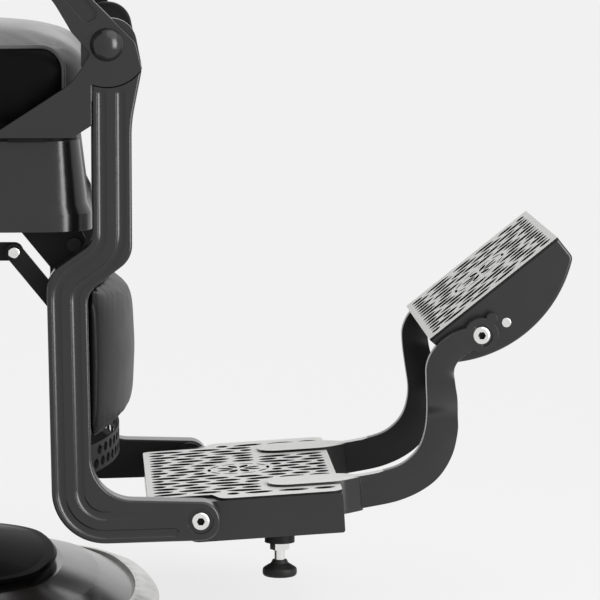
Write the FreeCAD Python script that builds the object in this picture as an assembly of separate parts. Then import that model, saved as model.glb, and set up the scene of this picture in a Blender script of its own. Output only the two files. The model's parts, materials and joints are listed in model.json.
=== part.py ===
import FreeCAD, Part
import math
import os

# Barber chair. Millimetres; +X is the way the sitter faces, +Z is up, and the
# origin is the middle of the base's underside. Paired pieces are modelled on
# the right-hand side, where Y is negative, and mirrored for the left.

Vector = FreeCAD.Vector

# Side castings, from the outside inwards
FRAME_OUTER = 245.0
FRAME_THICK = 32.0
ARM_THICK = 14.0
HUB_GAP = 0.4
SLIDE_GAP = 0.4
EDGE_ROUND = 2.5
ARM_ROUND = 1.2
LEG_ROUND = 3.5
FIT = 0.05
FRAME_INNER = FRAME_OUTER - FRAME_THICK
ARM_INNER = FRAME_OUTER - ARM_THICK

# Seat level and the knee pivot of the leg rest
PAN_TOP = 563.0
PAN_T = 5.0
KNEE_X = 285.0
KNEE_RISE = 103.0
HUB_R = 28.5
KNEE_COVER_R = 47.0
KNEE_GAP = 0.9
KNEE_PIN_D = 16.0
KNEE_CAP_R = 18.5
KNEE_CAP_H = 12.0
COVER_LEAD = 19.0
COVER_END = 40.0
COVER_LIP = 4.5
KNEE_FLANGE_R = 23.0
KNEE_FLANGE_T = 6.0
KNEE_Z = PAN_TOP + KNEE_RISE
PAN_BOTTOM = PAN_TOP - PAN_T

# Leg castings: thigh bar, step back to the shin, foot bar
LEG_W = 43.5
LEG_SETBACK = 16.5
LEG_BULGE = 12.0
BEND_FALL = 219.0
BEND_REAR_DROP = 36.0
BEND_FRONT_FALL = 18.0
BEND_FRONT_DROP = 38.0
SHIN_STEP = 51.7
SHIN_LEAN = 5.2
SHIN_W = 44.0
HEEL_R = 60.0
INSTEP_R = 48.0
FOOT_BAR_H = 44.0
FOOT_REACH = 165.0
TOE_Z = 134.0
TOE_R = 22.0
TOE_BOSS_R = 20.0
GROOVE_R = 7.0
GROOVE_DEPTH = 2.4
GROOVE_BEND_R = 52.0
GROOVE_OFFSETS = (10.5, 31.5)
GROOVE_TOP_FALL = 54.0
GROOVE_TOE_GAP = 29.0
LEG_REAR = KNEE_X - LEG_SETBACK
SHIN_REAR_TOP = LEG_REAR - SHIN_STEP
SHIN_REAR_FOOT = SHIN_REAR_TOP + SHIN_LEAN
BEND_REAR_Z = KNEE_Z - BEND_FALL
BEND_FRONT_Z = BEND_REAR_Z - BEND_FRONT_FALL
TOE_X = SHIN_REAR_FOOT + FOOT_REACH

# Bolts
HINGE_BOLT_D = 12.0
BOLT_HEAD_D = 21.0
BOLT_HEAD_H = 6.0
HEX_KEY = 8.0
BORE_DEPTH = 2.8
TOE_BORE_R = 14.5
EYE_BORE_R = 13.0

# Arms
RAIL_RISE = 140.0
RAIL_H = 32.0
RAIL_REAR = -170.0
RAIL_SETBACK = 80.0
STAY_FRONT = -120.0
STAY_W = 30.0
ARM_PAD_W = 68.0
ARM_PAD_H = 36.0
ARM_PAD_OUT = 7.0
ARM_PAD_OVERHANG = 14.0
ARM_PAD_SOFT = 17.0
CHANNEL_DEPTH = 3.0
RAIL_BOTTOM = KNEE_Z + RAIL_RISE
RAIL_FRONT = KNEE_X - RAIL_SETBACK
ARM_PAD_Y = FRAME_OUTER + ARM_PAD_OUT

# Seat
PAN_REAR = -150.0
PAN_SETBACK = 33.0
EAR_W = 43.0
EAR_REACH = 6.0
BOX_REAR = -185.0
BOX_CLEAR = 10.0
BOX_H = 101.0
BOX_WALL = 4.0
BOX_CORNER_R = 34.0
BOX_CREASE_H = 71.0
BOX_LIP_H = 19.0
BOX_FLARE_CREASE = 8.5
BOX_FLARE_FOOT = 14.0
BOX_SIDE_SHARE = 0.4
CUSHION_REAR = -168.0
CUSHION_NOSE = 17.0
CUSHION_CLEAR = 8.0
CUSHION_H = 109.0
CUSHION_ROLL = 42.0
CUSHION_CORNER_R = 62.0
CUSHION_CROWN = 12.0
CUSHION_PULL = 0.012
CUSHION_SOFT = 26.0
CUSHION_WELT = 6.0
BOX_HALF = ARM_INNER - BOX_CLEAR
BOX_LOW = PAN_BOTTOM - BOX_H
PAN_FRONT = KNEE_X - PAN_SETBACK
PAN_HALF = BOX_HALF - BOX_WALL / 2
BOX_FRONT = PAN_FRONT + BOX_WALL / 2
CUSHION_FRONT = PAN_FRONT + CUSHION_NOSE
CUSHION_HALF = ARM_INNER - CUSHION_CLEAR

# Recline linkage: leg link, push bar, crank of the back, stops
LINK_BEHIND = 87.5
LINK_BELOW = 13.5
LINK_ROOT_IN = 19.0
LINK_ROOT_DROP = 67.5
LINK_W = 20.0
LINK_T = 7.6
LINK_BOLT_D = 10.0
LINK_HEAD_D = 14.0
PUSH_T = 10.0
OPEN_PIVOT_PLAY = 4.6
HINGE_X = -215.0
HINGE_RISE = 12.0
HINGE_R = 24.0
HINGE_PIN_D = 16.0
CRANK_BACK = 20.0
CRANK_DROP = 140.0
CRANK_PIN_D = 10.0
CRANK_W = 34.0
CRANK_T = 10.0
BRACKET_T = 8.0
BUMPER_BEHIND = 21.0
BUMPER_BELOW = 6.7
BUMPER_R = 8.0
LINK_X = LEG_REAR - LINK_BEHIND
LINK_Z = BEND_REAR_Z - LINK_BELOW
LINK_ROOT_X = SHIN_REAR_TOP + LINK_ROOT_IN
LINK_ROOT_Z = LINK_Z - LINK_ROOT_DROP
BUMPER_X = LEG_REAR - BUMPER_BEHIND
BUMPER_Z = BEND_REAR_Z - BUMPER_BELOW
HINGE_Z = PAN_TOP + HINGE_RISE
CRANK_X = HINGE_X - CRANK_BACK
CRANK_Z = HINGE_Z - CRANK_DROP
LINK_INNER = FRAME_INNER - LINK_T
PUSH_OUTER = LINK_INNER - SLIDE_GAP
PUSH_INNER = PUSH_OUTER - PUSH_T
BACK_ARM_OUTER = PUSH_INNER - SLIDE_GAP
BACK_ARM_INNER = BACK_ARM_OUTER - CRANK_T

# Calf panel, pad and skirt between the legs
PANEL_IN = 35.2
PANEL_BOW = 26.0
PANEL_T = 3.0
PANEL_OVER_TOE = 84.0
PANEL_UNDER_BEND = 61.0
PAD_SIDE_GAP = 8.0
PAD_OVERLAP = 3.0
PAD_LIP = 7.0
PAD_END_T = 12.0
PAD_MIDDLE_T = 38.0
PAD_CORNER_R = 34.0
SKIRT_IN = 6.0
SKIRT_BOW = 41.0
SKIRT_T = 2.0
SKIRT_H = 33.0
SKIRT_GAP = 2.0
TUBE_D = 25.0
TUBE_BEHIND = 18.0
TUBE_SHARE = 0.56
PANEL_END_X = SHIN_REAR_TOP + PANEL_IN
PANEL_LOW = TOE_Z + PANEL_OVER_TOE
PANEL_HIGH = BEND_REAR_Z - PANEL_UNDER_BEND
PAD_HALF = FRAME_INNER - PAD_SIDE_GAP
PAD_LOW = PANEL_LOW - PAD_OVERLAP
PAD_HIGH = PANEL_HIGH + PAD_LIP
SKIRT_END_X = PANEL_END_X + SKIRT_IN
SKIRT_HIGH = PAD_LOW - SKIRT_GAP
SKIRT_FOOT = SKIRT_HIGH - SKIRT_H
TUBE_X = PANEL_END_X - TUBE_BEHIND
TUBE_Z = TOE_Z + TUBE_SHARE * (BEND_REAR_Z - TOE_Z)

# Footplate, in its own frame: x forward and z up from the toe hinge
TRAY_TILT = 3.4
TRAY_FRONT = 163.0
TRAY_REAR = -57.0
TRAY_TOP = 14.7
TRAY_H = 45.5
TRAY_WALL = 6.0
DECK_T = 3.0
RAIL_SIDE_GAP = 8.0
RAIL_W = 27.0
REAR_STEP_IN = 32.0
BAR_W = 12.0
GRATING_T = 2.5
SLOT_L = 44.0
SLOT_W = 20.0
SLOT_PITCH_X = 48.0
SLOT_PITCH_Y = 17.8
GRATING_RIM = 9.0
DISC_R = 38.0
PETALS = 12
PETAL_W = 8.0
PETAL_START = 11.0
PETAL_END = 33.0
FOOT_LENGTH = 82.0
FOOT_IN = 48.0
FOOT_W = 59.0
FOOT_DEPTH = 33.5
FOOT_PROUD = 3.0
FOOT_END_R = 26.0
RAIL_OUT = FRAME_INNER - RAIL_SIDE_GAP
RAIL_IN = RAIL_OUT - RAIL_W
REAR_HALF = RAIL_OUT - REAR_STEP_IN
TRAY_LOW = TRAY_TOP - TRAY_H
FOOT_LOW = TRAY_TOP - FOOT_DEPTH
FOOT_REAR = TRAY_FRONT - FOOT_LENGTH
FOOT_OUTER = RAIL_OUT - FOOT_IN
FOOT_INNER = FOOT_OUTER - FOOT_W

# Flip-over footrest, in its own frame: u along the plate and n off its face
FLIP_REACH = 320.4
FLIP_RISE = 198.8
FLIP_TILT = 38.5
FLIP_SIDE_GAP = 43.0
FLIP_NEAR = -49.2
FLIP_FAR = 136.5
FLIP_FACE = 28.1
FLIP_NOSE = 2.0
FLIP_BELLY = -33.0
FLIP_HEEL_U = -42.2
FLIP_HEEL_N = -9.0
FLIP_CORNER_R = 9.0
FLIP_SIDE_T = 6.0
FLIP_GRATING_T = 3.0
FLIP_EDGE_R = 3.5
FLIP_PIN_U = 31.0
FLIP_PIN_N = -8.9
FLIP_PIN_D = 11.0
FLIP_ARM_T = 16.5
FLIP_ARM_GAP = 1.5
FLIP_EYE_R = 19.5
FLIP_BOSS_DX = 11.6
FLIP_BOSS_DZ = 18.6
FLIP_BOSS_R = 6.4
FLIP_X = TOE_X + FLIP_REACH
FLIP_Z = TOE_Z + FLIP_RISE
FLIP_HALF = RAIL_OUT - FLIP_SIDE_GAP

# Flip arm's side view, as shares of the run and rise from the tray to the pivot
ARM_UPPER = (
    (0.553, 0.126, 0.22), (0.673, 0.410, 0.38), (0.591, 0.723, 0.28),
    (0.667, 0.973, 0.14), (0.826, 1.030, 0.03),
)
ARM_LOWER = (
    (0.889, 0.880, 0.08), (0.800, 0.729, 0.13), (0.877, 0.467, 0.38),
    (0.775, 0.075, 0.25), (0.451, -0.119, 0.38),
)
FLARE_START = 0.36
FLARE_END = 0.70
FLARE_SHIFT = 4.0
NECK_R = 50.0
FLARE_R = 40.0
EYE_R = 30.0

# Levelling feet, down from the toe hinge
LEVEL_REACH = 91.0
LEVEL_IN = 17.0
STEM_D = 12.0
STEM_DOWN = 10.0
SOCKET_R = 17.0
SOCKET_DOWN = 24.0
SOCKET_H = 10.0
NUT_AF = 19.0
NUT_H = 8.0
NUT_GAP = 0.5
GLIDE_R = 19.5
GLIDE_H = 15.0
GLIDE_NECK_R = 8.0
GLIDE_NECK_H = 4.0
GLIDE_DOWN = 54.0
LEVEL_X = TOE_X + LEVEL_REACH
LEVEL_Y = RAIL_OUT - LEVEL_IN
STEM_TOP = TOE_Z - STEM_DOWN
SOCKET_TOP = TOE_Z - SOCKET_DOWN
SOCKET_BOTTOM = SOCKET_TOP - SOCKET_H
NUT_BOTTOM = SOCKET_BOTTOM - NUT_GAP - NUT_H
GLIDE_NECK_TOP = TOE_Z - GLIDE_DOWN
GLIDE_BOTTOM = GLIDE_NECK_TOP - GLIDE_NECK_H - GLIDE_H

# Base
BASE_HALF = 345.0
BASE_SIDE_R = 744.0
BASE_CORNER_R = 180.0
BASE_WALL = 5.0
RIM_W = 28.0
RIM_TOP = 19.0
RIM_EDGE = 5.0
DOME_INSET = 85.0
DOME_TOP = 47.0
COLLAR_INSET = 7.0
COLLAR_LIP_RISE = 12.0
COLLAR_LIP_H = 7.0
COLLAR_RISE = 37.0
COLLAR_NECK_R = 64.0
CYLINDER_D = 116.0
CYLINDER_BORE = 70.4
CYLINDER_TOP = 330.0
CYLINDER_FLOOR = 20.0
GLAND_D = 96.0
GLAND_H = 14.0
RAM_D = 70.0
RAM_BOTTOM = 110.0
RAM_BELOW_PAN = 95.0
SPIGOT_D = 50.0
SPIGOT_H = 72.0
BEARING_H = 10.0
BEARING_D = 84.0
HUB_D = 96.0
HUB_FLANGE_D = 220.0
HUB_FLANGE_H = 24.0
SWIVEL_GAP = 0.3
BASE_INNER = BASE_HALF - RIM_W
DOME_HALF = BASE_INNER - DOME_INSET
COLLAR_HALF = DOME_HALF - COLLAR_INSET
COLLAR_LIP_Z = DOME_TOP + COLLAR_LIP_RISE
COLLAR_TOP = DOME_TOP + COLLAR_RISE
RAM_TOP = PAN_TOP - RAM_BELOW_PAN
SPIGOT_TOP = RAM_TOP + SPIGOT_H

# Back, in its own frame: x forward and z up along the back from its hinge
BACK_TILT = 12.0
BACK_ARM_X = -35.0
BACK_ARM_W = 26.0
BACK_ARM_TOP = 420.0
BACK_PANEL_T = 6.0
BACK_PANEL_IN = 12.0
BACK_LOW = 100.0
BACK_HIGH = 540.0
BACK_SIDE = 19.4
BACK_CUSHION_T = 84.0
BACK_CORNER_R = 60.0
COVER_DEPTH = 40.0
COVER_SIDE = 8.4
COVER_WALL = 3.0
COVER_EDGE_R = 26.0
COVER_DOWN = 8.0
SOCKET_HALF = 32.0
SOCKET_LOW = 430.0
POST_W = 40.0
POST_T = 10.0
POST_LOW = 390.0
POST_TOP = 668.0
HEADREST_LOW = 566.0
HEADREST_H = 132.0
HEADREST_HALF = 128.0
HEADREST_T = 76.0
HEADREST_CORNER_R = 40.0
HEADREST_CROWN = 8.0
BACK_HALF = BACK_ARM_OUTER + BACK_SIDE
COVER_HALF = BACK_ARM_OUTER + COVER_SIDE

# Hand levers on the seat box
LEVER_X = -60.0
LEVER_BELOW_PAN = 51.0
LEVER_LENGTH = 140.0
LEVER_DROP = 30.0
LEVER_W = 18.0
LEVER_T = 6.0
LEVER_HUB_R = 14.0
LEVER_PIN_D = 10.0
GRIP_R = 13.0
GRIP_L = 30.0
LEVER_Z = PAN_TOP - LEVER_BELOW_PAN
LEVER_FACE = BOX_HALF + BOX_SIDE_SHARE * BOX_FLARE_CREASE + BOX_WALL


# Small tools for outlines and solids

def on_side(y):
    """Map (x, z) of an outline to the upright plane at y."""
    return lambda u, v: Vector(u, y, v)


def on_level(z):
    """Map (x, y) of an outline to the level plane at z."""
    return lambda u, v: Vector(u, v, z)


def corner_arc(before, here, after, radius):
    """Tangent arc that rounds one corner, as its start, middle and end."""
    a = (before - here).normalize()
    b = (after - here).normalize()
    half = a.getAngle(b) / 2
    reach = radius / math.tan(half)
    middle = (a + b).normalize() * (radius / math.sin(half) - radius)
    return here + a * reach, here + middle, here + b * reach


def rounded_edges(points, place, closed):
    """Lines and tangent arcs along corner points given as (u, v, radius)."""
    corners = [place(u, v) for u, v, _ in points]
    count = len(points)
    edges = []
    last = None
    first = None
    for i, (_, _, radius) in enumerate(points):
        here = corners[i]
        at_end = not closed and i in (0, count - 1)
        if radius > 0 and not at_end:
            start, middle, end = corner_arc(corners[i - 1], here, corners[(i + 1) % count], radius)
            arc = Part.Arc(start, middle, end).toShape()
        else:
            start = end = here
            arc = None
        if last is None:
            first = start
        elif (start - last).Length > 1e-6:
            edges.append(Part.makeLine(last, start))
        if arc is not None:
            edges.append(arc)
        last = end
    if closed and (first - last).Length > 1e-6:
        edges.append(Part.makeLine(last, first))
    return edges


def loop(points, place):
    return Part.Wire(rounded_edges(points, place, True))


def slab(points, y0, y1):
    """Solid with an (x, z) outline between two upright planes."""
    face = Part.Face(loop(points, on_side(y0)))
    return face.extrude(Vector(0, y1 - y0, 0))


def tile(points, z0, z1):
    """Solid with an (x, y) outline between two levels."""
    face = Part.Face(loop(points, on_level(z0)))
    return face.extrude(Vector(0, 0, z1 - z0))


def block(x0, x1, y0, y1, z0, z1):
    return Part.makeBox(x1 - x0, y1 - y0, z1 - z0, Vector(x0, y0, z0))


def rod_y(x, z, radius, y0, y1):
    return Part.makeCylinder(radius, y1 - y0, Vector(x, y0, z), Vector(0, 1, 0))


def rod_z(x, y, radius, z0, z1):
    return Part.makeCylinder(radius, z1 - z0, Vector(x, y, z0))


def hexagon(across, z0, z1, x, y):
    """Upright hexagonal prism, across flats."""
    reach = across / math.sqrt(3)
    points = []
    for i in range(6):
        angle = math.radians(60 * i)
        points.append((x + reach * math.cos(angle), y + reach * math.sin(angle), 0))
    return tile(points, z0, z1)


def strip(p, q, width):
    """Corner points of a round-ended strip from p to q."""
    length = math.hypot(q[0] - p[0], q[1] - p[1])
    ax = (q[0] - p[0]) / length * width / 2
    az = (q[1] - p[1]) / length * width / 2
    radius = width * 0.499
    return [
        (p[0] - ax - az, p[1] - az + ax, radius),
        (q[0] + ax - az, q[1] + az + ax, radius),
        (q[0] + ax + az, q[1] + az - ax, radius),
        (p[0] - ax + az, p[1] - az - ax, radius),
    ]


def mirrored(shape):
    return shape.mirror(Vector(0, 0, 0), Vector(0, 1, 0))


def pair(shape):
    """A piece and its mirror image, kept as two solids."""
    return Part.makeCompound([shape, mirrored(shape)])


def round_face(shape, y, radius):
    """Round the edges that lie in the upright plane at y."""
    edges = []
    for edge in shape.Edges:
        box = edge.BoundBox
        if abs(box.YMin - y) < 1e-4 and abs(box.YMax - y) < 1e-4:
            edges.append(edge)
    return shape.makeFillet(radius, edges)


def placed(shape, x, z, tilt):
    """Turn a shape up at its front by tilt degrees and move its origin to (x, z)."""
    shape.rotate(Vector(0, 0, 0), Vector(0, -1, 0), tilt)
    shape.translate(Vector(x, 0, z))
    return shape


def button_bolt(x, z, y_face, shank_d, shank_l, head_d=BOLT_HEAD_D, head_h=BOLT_HEAD_H):
    """Button-head bolt whose head stands out towards -Y from y_face."""
    head = rod_y(x, z, head_d / 2, y_face - head_h, y_face)
    head = round_face(head, y_face - head_h, head_h * 0.6)
    reach = head_d * HEX_KEY / BOLT_HEAD_D / math.sqrt(3)
    points = []
    for i in range(6):
        angle = math.radians(60 * i)
        points.append((x + reach * math.cos(angle), z + reach * math.sin(angle), 0))
    head = head.cut(slab(points, y_face - head_h - 1, y_face - head_h * 0.2))
    return head.fuse(rod_y(x, z, shank_d / 2, y_face, y_face + shank_l)).removeSplitter()


def pillow_section(half_x, half_y, radius, pull):
    """Rounded rectangle whose sides are drawn in by a share of their length, tangent all round."""
    a = half_x - radius
    b = half_y - radius
    lean = 2 * math.atan(2 * pull)
    bulge = radius / 2 + radius / 2 * math.tan(math.pi / 8 + lean / 2)
    edges = []
    for sx, sy, side, turn in ((1, 1, b, 0), (-1, 1, a, 1), (-1, -1, b, 2), (1, -1, a, 3)):
        reach = (half_x, half_y)[turn % 2]
        drawn = reach - 2 * side * pull
        spin = FreeCAD.Rotation(Vector(0, 0, 1), 90 * turn)
        start = spin.multVec(Vector(reach, -side, 0))
        middle = spin.multVec(Vector(drawn, 0, 0))
        end = spin.multVec(Vector(reach, side, 0))
        corner = Vector(sx * (a + bulge), sy * (b + bulge), 0)
        following = spin.multVec(Vector(reach - radius, side + radius, 0))
        edges.append(Part.Arc(start, middle, end).toShape())
        edges.append(Part.Arc(end, corner, following).toShape())
    return Part.Wire(edges)


def pillow(length, width, height, radius, crown, soft=CUSHION_SOFT):
    """Upholstered pad: crowned top, soft upper edge, sides drawn in between the corners."""
    top = height + crown
    section = pillow_section(length / 2, width / 2, radius, CUSHION_PULL)
    body = Part.Face(section).extrude(Vector(0, 0, top))
    reach = max(length, width) / 2
    dome_r = (reach ** 2 + crown ** 2) / (2 * crown)
    body = body.common(Part.makeSphere(dome_r, Vector(0, 0, top - dome_r), Vector(1, 0, 0)))
    upper = [edge for edge in body.Edges if edge.BoundBox.ZMin > height / 2]
    body = body.makeFillet(soft, upper)
    lower = [edge for edge in body.Edges if edge.BoundBox.ZMax < 1e-3]
    return body.makeFillet(CUSHION_WELT, lower)


def leaf(x, y, length, width, place):
    """Pointed slot made of two arcs, long in x."""
    tips = (place(x - length / 2, y), place(x + length / 2, y))
    upper = Part.Arc(tips[0], place(x, y + width / 2), tips[1]).toShape()
    lower = Part.Arc(tips[1], place(x, y - width / 2), tips[0]).toShape()
    return Part.Wire([upper, lower])


def leaf_centres(x0, x1, half_y):
    """Staggered rows of slots that fill x0..x1 and both sides of the middle."""
    rows = int((half_y - SLOT_W / 2) // SLOT_PITCH_Y)
    count = int((x1 - x0 - SLOT_L) // SLOT_PITCH_X) + 1
    start = (x0 + x1 - (count - 1) * SLOT_PITCH_X) / 2
    centres = []
    for row in range(-rows, rows + 1):
        odd = row % 2
        for i in range(count - odd):
            centres.append((start + (i + odd / 2) * SLOT_PITCH_X, row * SLOT_PITCH_Y))
    return centres


def off_disc(x, y, middle):
    """Whether a slot stays clear of the round plate in the middle of a grating."""
    near_x = max(abs(x - middle) - SLOT_L / 2, 0)
    near_y = max(abs(y) - SLOT_W / 2, 0)
    return math.hypot(near_x, near_y) > DISC_R


def rosette(middle, z):
    """Ring of slots that point outwards from the middle of a grating."""
    petals = []
    length = PETAL_END - PETAL_START
    for i in range(PETALS):
        petal = leaf((PETAL_START + PETAL_END) / 2, 0, length, PETAL_W, on_level(z))
        petal.rotate(Vector(0, 0, z), Vector(0, 0, 1), 360 / PETALS * i)
        petal.translate(Vector(middle, 0, 0))
        petals.append(petal)
    return petals


def bowed_plan(end_x, bow, half_y, thick, z):
    """Curved strip in plan: ends at end_x, middle further forward by bow."""
    at = on_level(z)
    outer = Part.Arc(at(end_x, -half_y), at(end_x + bow, 0), at(end_x, half_y)).toShape()
    rear = end_x - thick
    inner = Part.Arc(at(rear, half_y), at(rear + bow, 0), at(rear, -half_y)).toShape()
    right = Part.makeLine(at(end_x, half_y), at(rear, half_y))
    left = Part.makeLine(at(rear, -half_y), at(end_x, -half_y))
    return Part.Wire([outer, right, inner, left])


PIECES = {}


def keep(name, shape):
    PIECES[name] = shape


# Base: soft-cornered square plate with a rim ring and a dished collar

def soft_square(half, z, side_r=BASE_SIDE_R, corner_r=BASE_CORNER_R, full=BASE_HALF):
    """Square with bowed sides and round corners, scaled from the base's outline."""
    size = half / full
    big = side_r * size
    small = corner_r * size
    away = big - half
    turn = math.acos(away / (big - small) * math.sqrt(0.5)) - math.pi / 4
    centre = (big - small) * math.sin(turn)
    edges = []
    for quarter in range(4):
        spin = FreeCAD.Rotation(Vector(0, 0, 1), 90 * quarter)

        def at(radius, angle, cx, cy):
            return spin.multVec(Vector(cx + radius * math.cos(angle), cy + radius * math.sin(angle), z))

        side = [at(big, angle, -away, 0) for angle in (-turn, 0, turn)]
        edges.append(Part.Arc(*side).toShape())
        start = at(small, turn, centre, centre)
        middle = at(small, math.pi / 4, centre, centre)
        end = at(small, math.pi / 2 - turn, centre, centre)
        edges.append(Part.Arc(start, middle, end).toShape())
    return Part.Wire(edges)


def base_plate():
    """Domed shell, open underneath and round the pump cylinder."""
    inner = BASE_INNER
    edge = RIM_TOP - RIM_EDGE
    skirt = Part.Face(soft_square(inner, 0)).extrude(Vector(0, 0, edge))
    groove = [soft_square(inner, edge), soft_square(inner - RIM_EDGE, edge + RIM_EDGE / 2)]
    levels = [
        soft_square(inner - RIM_EDGE, edge + RIM_EDGE / 2),
        soft_square((inner + DOME_HALF) / 2, RIM_TOP + (DOME_TOP - RIM_TOP) * 0.55),
        soft_square(DOME_HALF, DOME_TOP),
    ]
    plate = skirt.fuse(Part.makeLoft(groove, True, True)).fuse(Part.makeLoft(levels, True, True))
    well = inner - 2 * BASE_WALL
    hollow = [
        soft_square(well, edge - BASE_WALL),
        soft_square(DOME_HALF - BASE_WALL, DOME_TOP - BASE_WALL),
    ]
    plate = plate.cut(Part.Face(soft_square(well, -1)).extrude(Vector(0, 0, edge - BASE_WALL + 1)))
    plate = plate.cut(Part.makeLoft(hollow, True, True))
    return plate.cut(rod_z(0, 0, CYLINDER_D / 2, 0, DOME_TOP + 1)).removeSplitter()


def floor_plate():
    return Part.Face(soft_square(BASE_INNER - 2 * BASE_WALL, 0)).extrude(Vector(0, 0, BASE_WALL))


def rim_ring():
    inner = BASE_INNER
    levels = [
        soft_square(BASE_HALF - RIM_EDGE, 0),
        soft_square(BASE_HALF, RIM_EDGE),
        soft_square(BASE_HALF - RIM_EDGE, RIM_TOP * 0.6),
        soft_square(inner + RIM_EDGE, RIM_TOP),
    ]
    ring = Part.makeLoft(levels, True, True)
    return ring.cut(Part.Face(soft_square(inner, -1)).extrude(Vector(0, 0, RIM_TOP + 2)))


def base_collar():
    lip = COLLAR_LIP_Z
    outer = [
        soft_square(DOME_HALF * 0.94, DOME_TOP),
        soft_square(COLLAR_HALF * 0.97, lip - COLLAR_LIP_H),
        soft_square(COLLAR_HALF, lip - COLLAR_LIP_H / 2),
        soft_square(COLLAR_HALF * 0.985, lip),
        soft_square(COLLAR_HALF * 0.94, lip + 1),
        soft_square(COLLAR_HALF * 0.60, lip + (COLLAR_TOP - lip) * 0.62),
        soft_square(COLLAR_NECK_R * 1.25, COLLAR_TOP),
    ]
    inner = [
        soft_square(COLLAR_HALF * 0.90, DOME_TOP - 1),
        soft_square(COLLAR_HALF * 0.90, lip - BASE_WALL),
        soft_square(COLLAR_HALF * 0.57, lip + (COLLAR_TOP - lip) * 0.62 - BASE_WALL),
        soft_square(COLLAR_NECK_R * 1.2, COLLAR_TOP - BASE_WALL),
    ]
    dish = Part.makeLoft(outer, True, True).cut(Part.makeLoft(inner, True, True))
    return dish.cut(rod_z(0, 0, CYLINDER_D / 2 + HUB_GAP, 0, COLLAR_TOP + 1))


keep("base_plate", base_plate())
keep("floor_plate", floor_plate())
keep("rim_ring", rim_ring())
keep("base_collar", base_collar())

cylinder = rod_z(0, 0, CYLINDER_D / 2, BASE_WALL, CYLINDER_TOP)
keep("pump_cylinder", cylinder.cut(rod_z(0, 0, CYLINDER_BORE / 2, CYLINDER_FLOOR, CYLINDER_TOP + 1)))
gland = rod_z(0, 0, GLAND_D / 2, CYLINDER_TOP, CYLINDER_TOP + GLAND_H)
gland_bore = rod_z(0, 0, RAM_D / 2 + FIT, CYLINDER_TOP - 1, CYLINDER_TOP + GLAND_H + 1)
keep("cylinder_gland", gland.cut(gland_bore))

# Ram and swivel
ram = rod_z(0, 0, RAM_D / 2, RAM_BOTTOM, RAM_TOP)
keep("ram", ram.fuse(rod_z(0, 0, SPIGOT_D / 2, RAM_TOP, SPIGOT_TOP)).removeSplitter())
bearing = rod_z(0, 0, BEARING_D / 2, RAM_TOP, RAM_TOP + BEARING_H)
keep("swivel_bearing", bearing.cut(rod_z(0, 0, SPIGOT_D / 2, RAM_TOP - 1, RAM_TOP + BEARING_H + 1)))

hub_bottom = RAM_TOP + BEARING_H + SWIVEL_GAP
hub = rod_z(0, 0, HUB_D / 2, hub_bottom, PAN_BOTTOM)
hub = hub.fuse(rod_z(0, 0, HUB_FLANGE_D / 2, PAN_BOTTOM - HUB_FLANGE_H, PAN_BOTTOM)).removeSplitter()
keep("swivel_hub", hub.cut(rod_z(0, 0, SPIGOT_D / 2 + FIT, hub_bottom - 1, SPIGOT_TOP + SWIVEL_GAP)))


# Seat: pan with ears under the arms, pressed apron box, upholstered cushion

def seat_pan():
    pan = tile(
        [
            (PAN_REAR, -PAN_HALF, 6), (PAN_FRONT, -PAN_HALF, BOX_CORNER_R),
            (PAN_FRONT, PAN_HALF, BOX_CORNER_R), (PAN_REAR, PAN_HALF, 6),
        ],
        PAN_BOTTOM, PAN_TOP,
    )
    ear_out = ARM_INNER + EAR_REACH
    ear_front = PAN_FRONT - BOX_CORNER_R
    front = block(ear_front - EAR_W, ear_front, -ear_out, ear_out, PAN_BOTTOM, PAN_TOP)
    stay_rear = STAY_FRONT - STAY_W
    rear = block(stay_rear, STAY_FRONT, -ear_out, ear_out, PAN_BOTTOM, PAN_TOP)
    return pan.fuse([front, rear]).removeSplitter()


def box_outline(grow, z, inset=0.0):
    front = BOX_FRONT + grow - inset
    half = BOX_HALF + grow * BOX_SIDE_SHARE - inset
    radius = BOX_CORNER_R + grow - inset
    return loop(
        [(BOX_REAR, -half, 1.0), (front, -half, radius), (front, half, radius), (BOX_REAR, half, 1.0)],
        on_level(z),
    )


def seat_box():
    heights = [
        (PAN_BOTTOM, 0.0), (PAN_BOTTOM - BOX_CREASE_H, BOX_FLARE_CREASE),
        (BOX_LOW + BOX_LIP_H, BOX_FLARE_FOOT), (BOX_LOW, BOX_FLARE_FOOT),
    ]
    outer = Part.makeLoft([box_outline(grow, z) for z, grow in heights], True, True)
    inner = Part.makeLoft([box_outline(grow, z, BOX_WALL) for z, grow in heights], True, True)
    opening = BOX_HALF - BOX_WALL
    rear = block(BOX_REAR - 1, BOX_REAR + BOX_WALL + 1, -opening, opening, BOX_LOW - 1, PAN_TOP)
    pins = rod_y(LEVER_X, LEVER_Z, LEVER_PIN_D / 2 + HUB_GAP, -FRAME_OUTER, FRAME_OUTER)
    return outer.cut(inner).cut(rear).cut(pins)


def seat_cushion():
    length = CUSHION_FRONT - CUSHION_REAR
    width = 2 * CUSHION_HALF
    pad = pillow(length, width, CUSHION_H, CUSHION_CORNER_R, CUSHION_CROWN, CUSHION_ROLL)
    pad.translate(Vector((CUSHION_FRONT + CUSHION_REAR) / 2, 0, PAN_TOP))
    return pad


keep("seat_pan", seat_pan())
keep("seat_box", seat_box())
keep("seat_cushion", seat_cushion())


# Arms: casting with web, knee cover, channelled strap and rail

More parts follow.
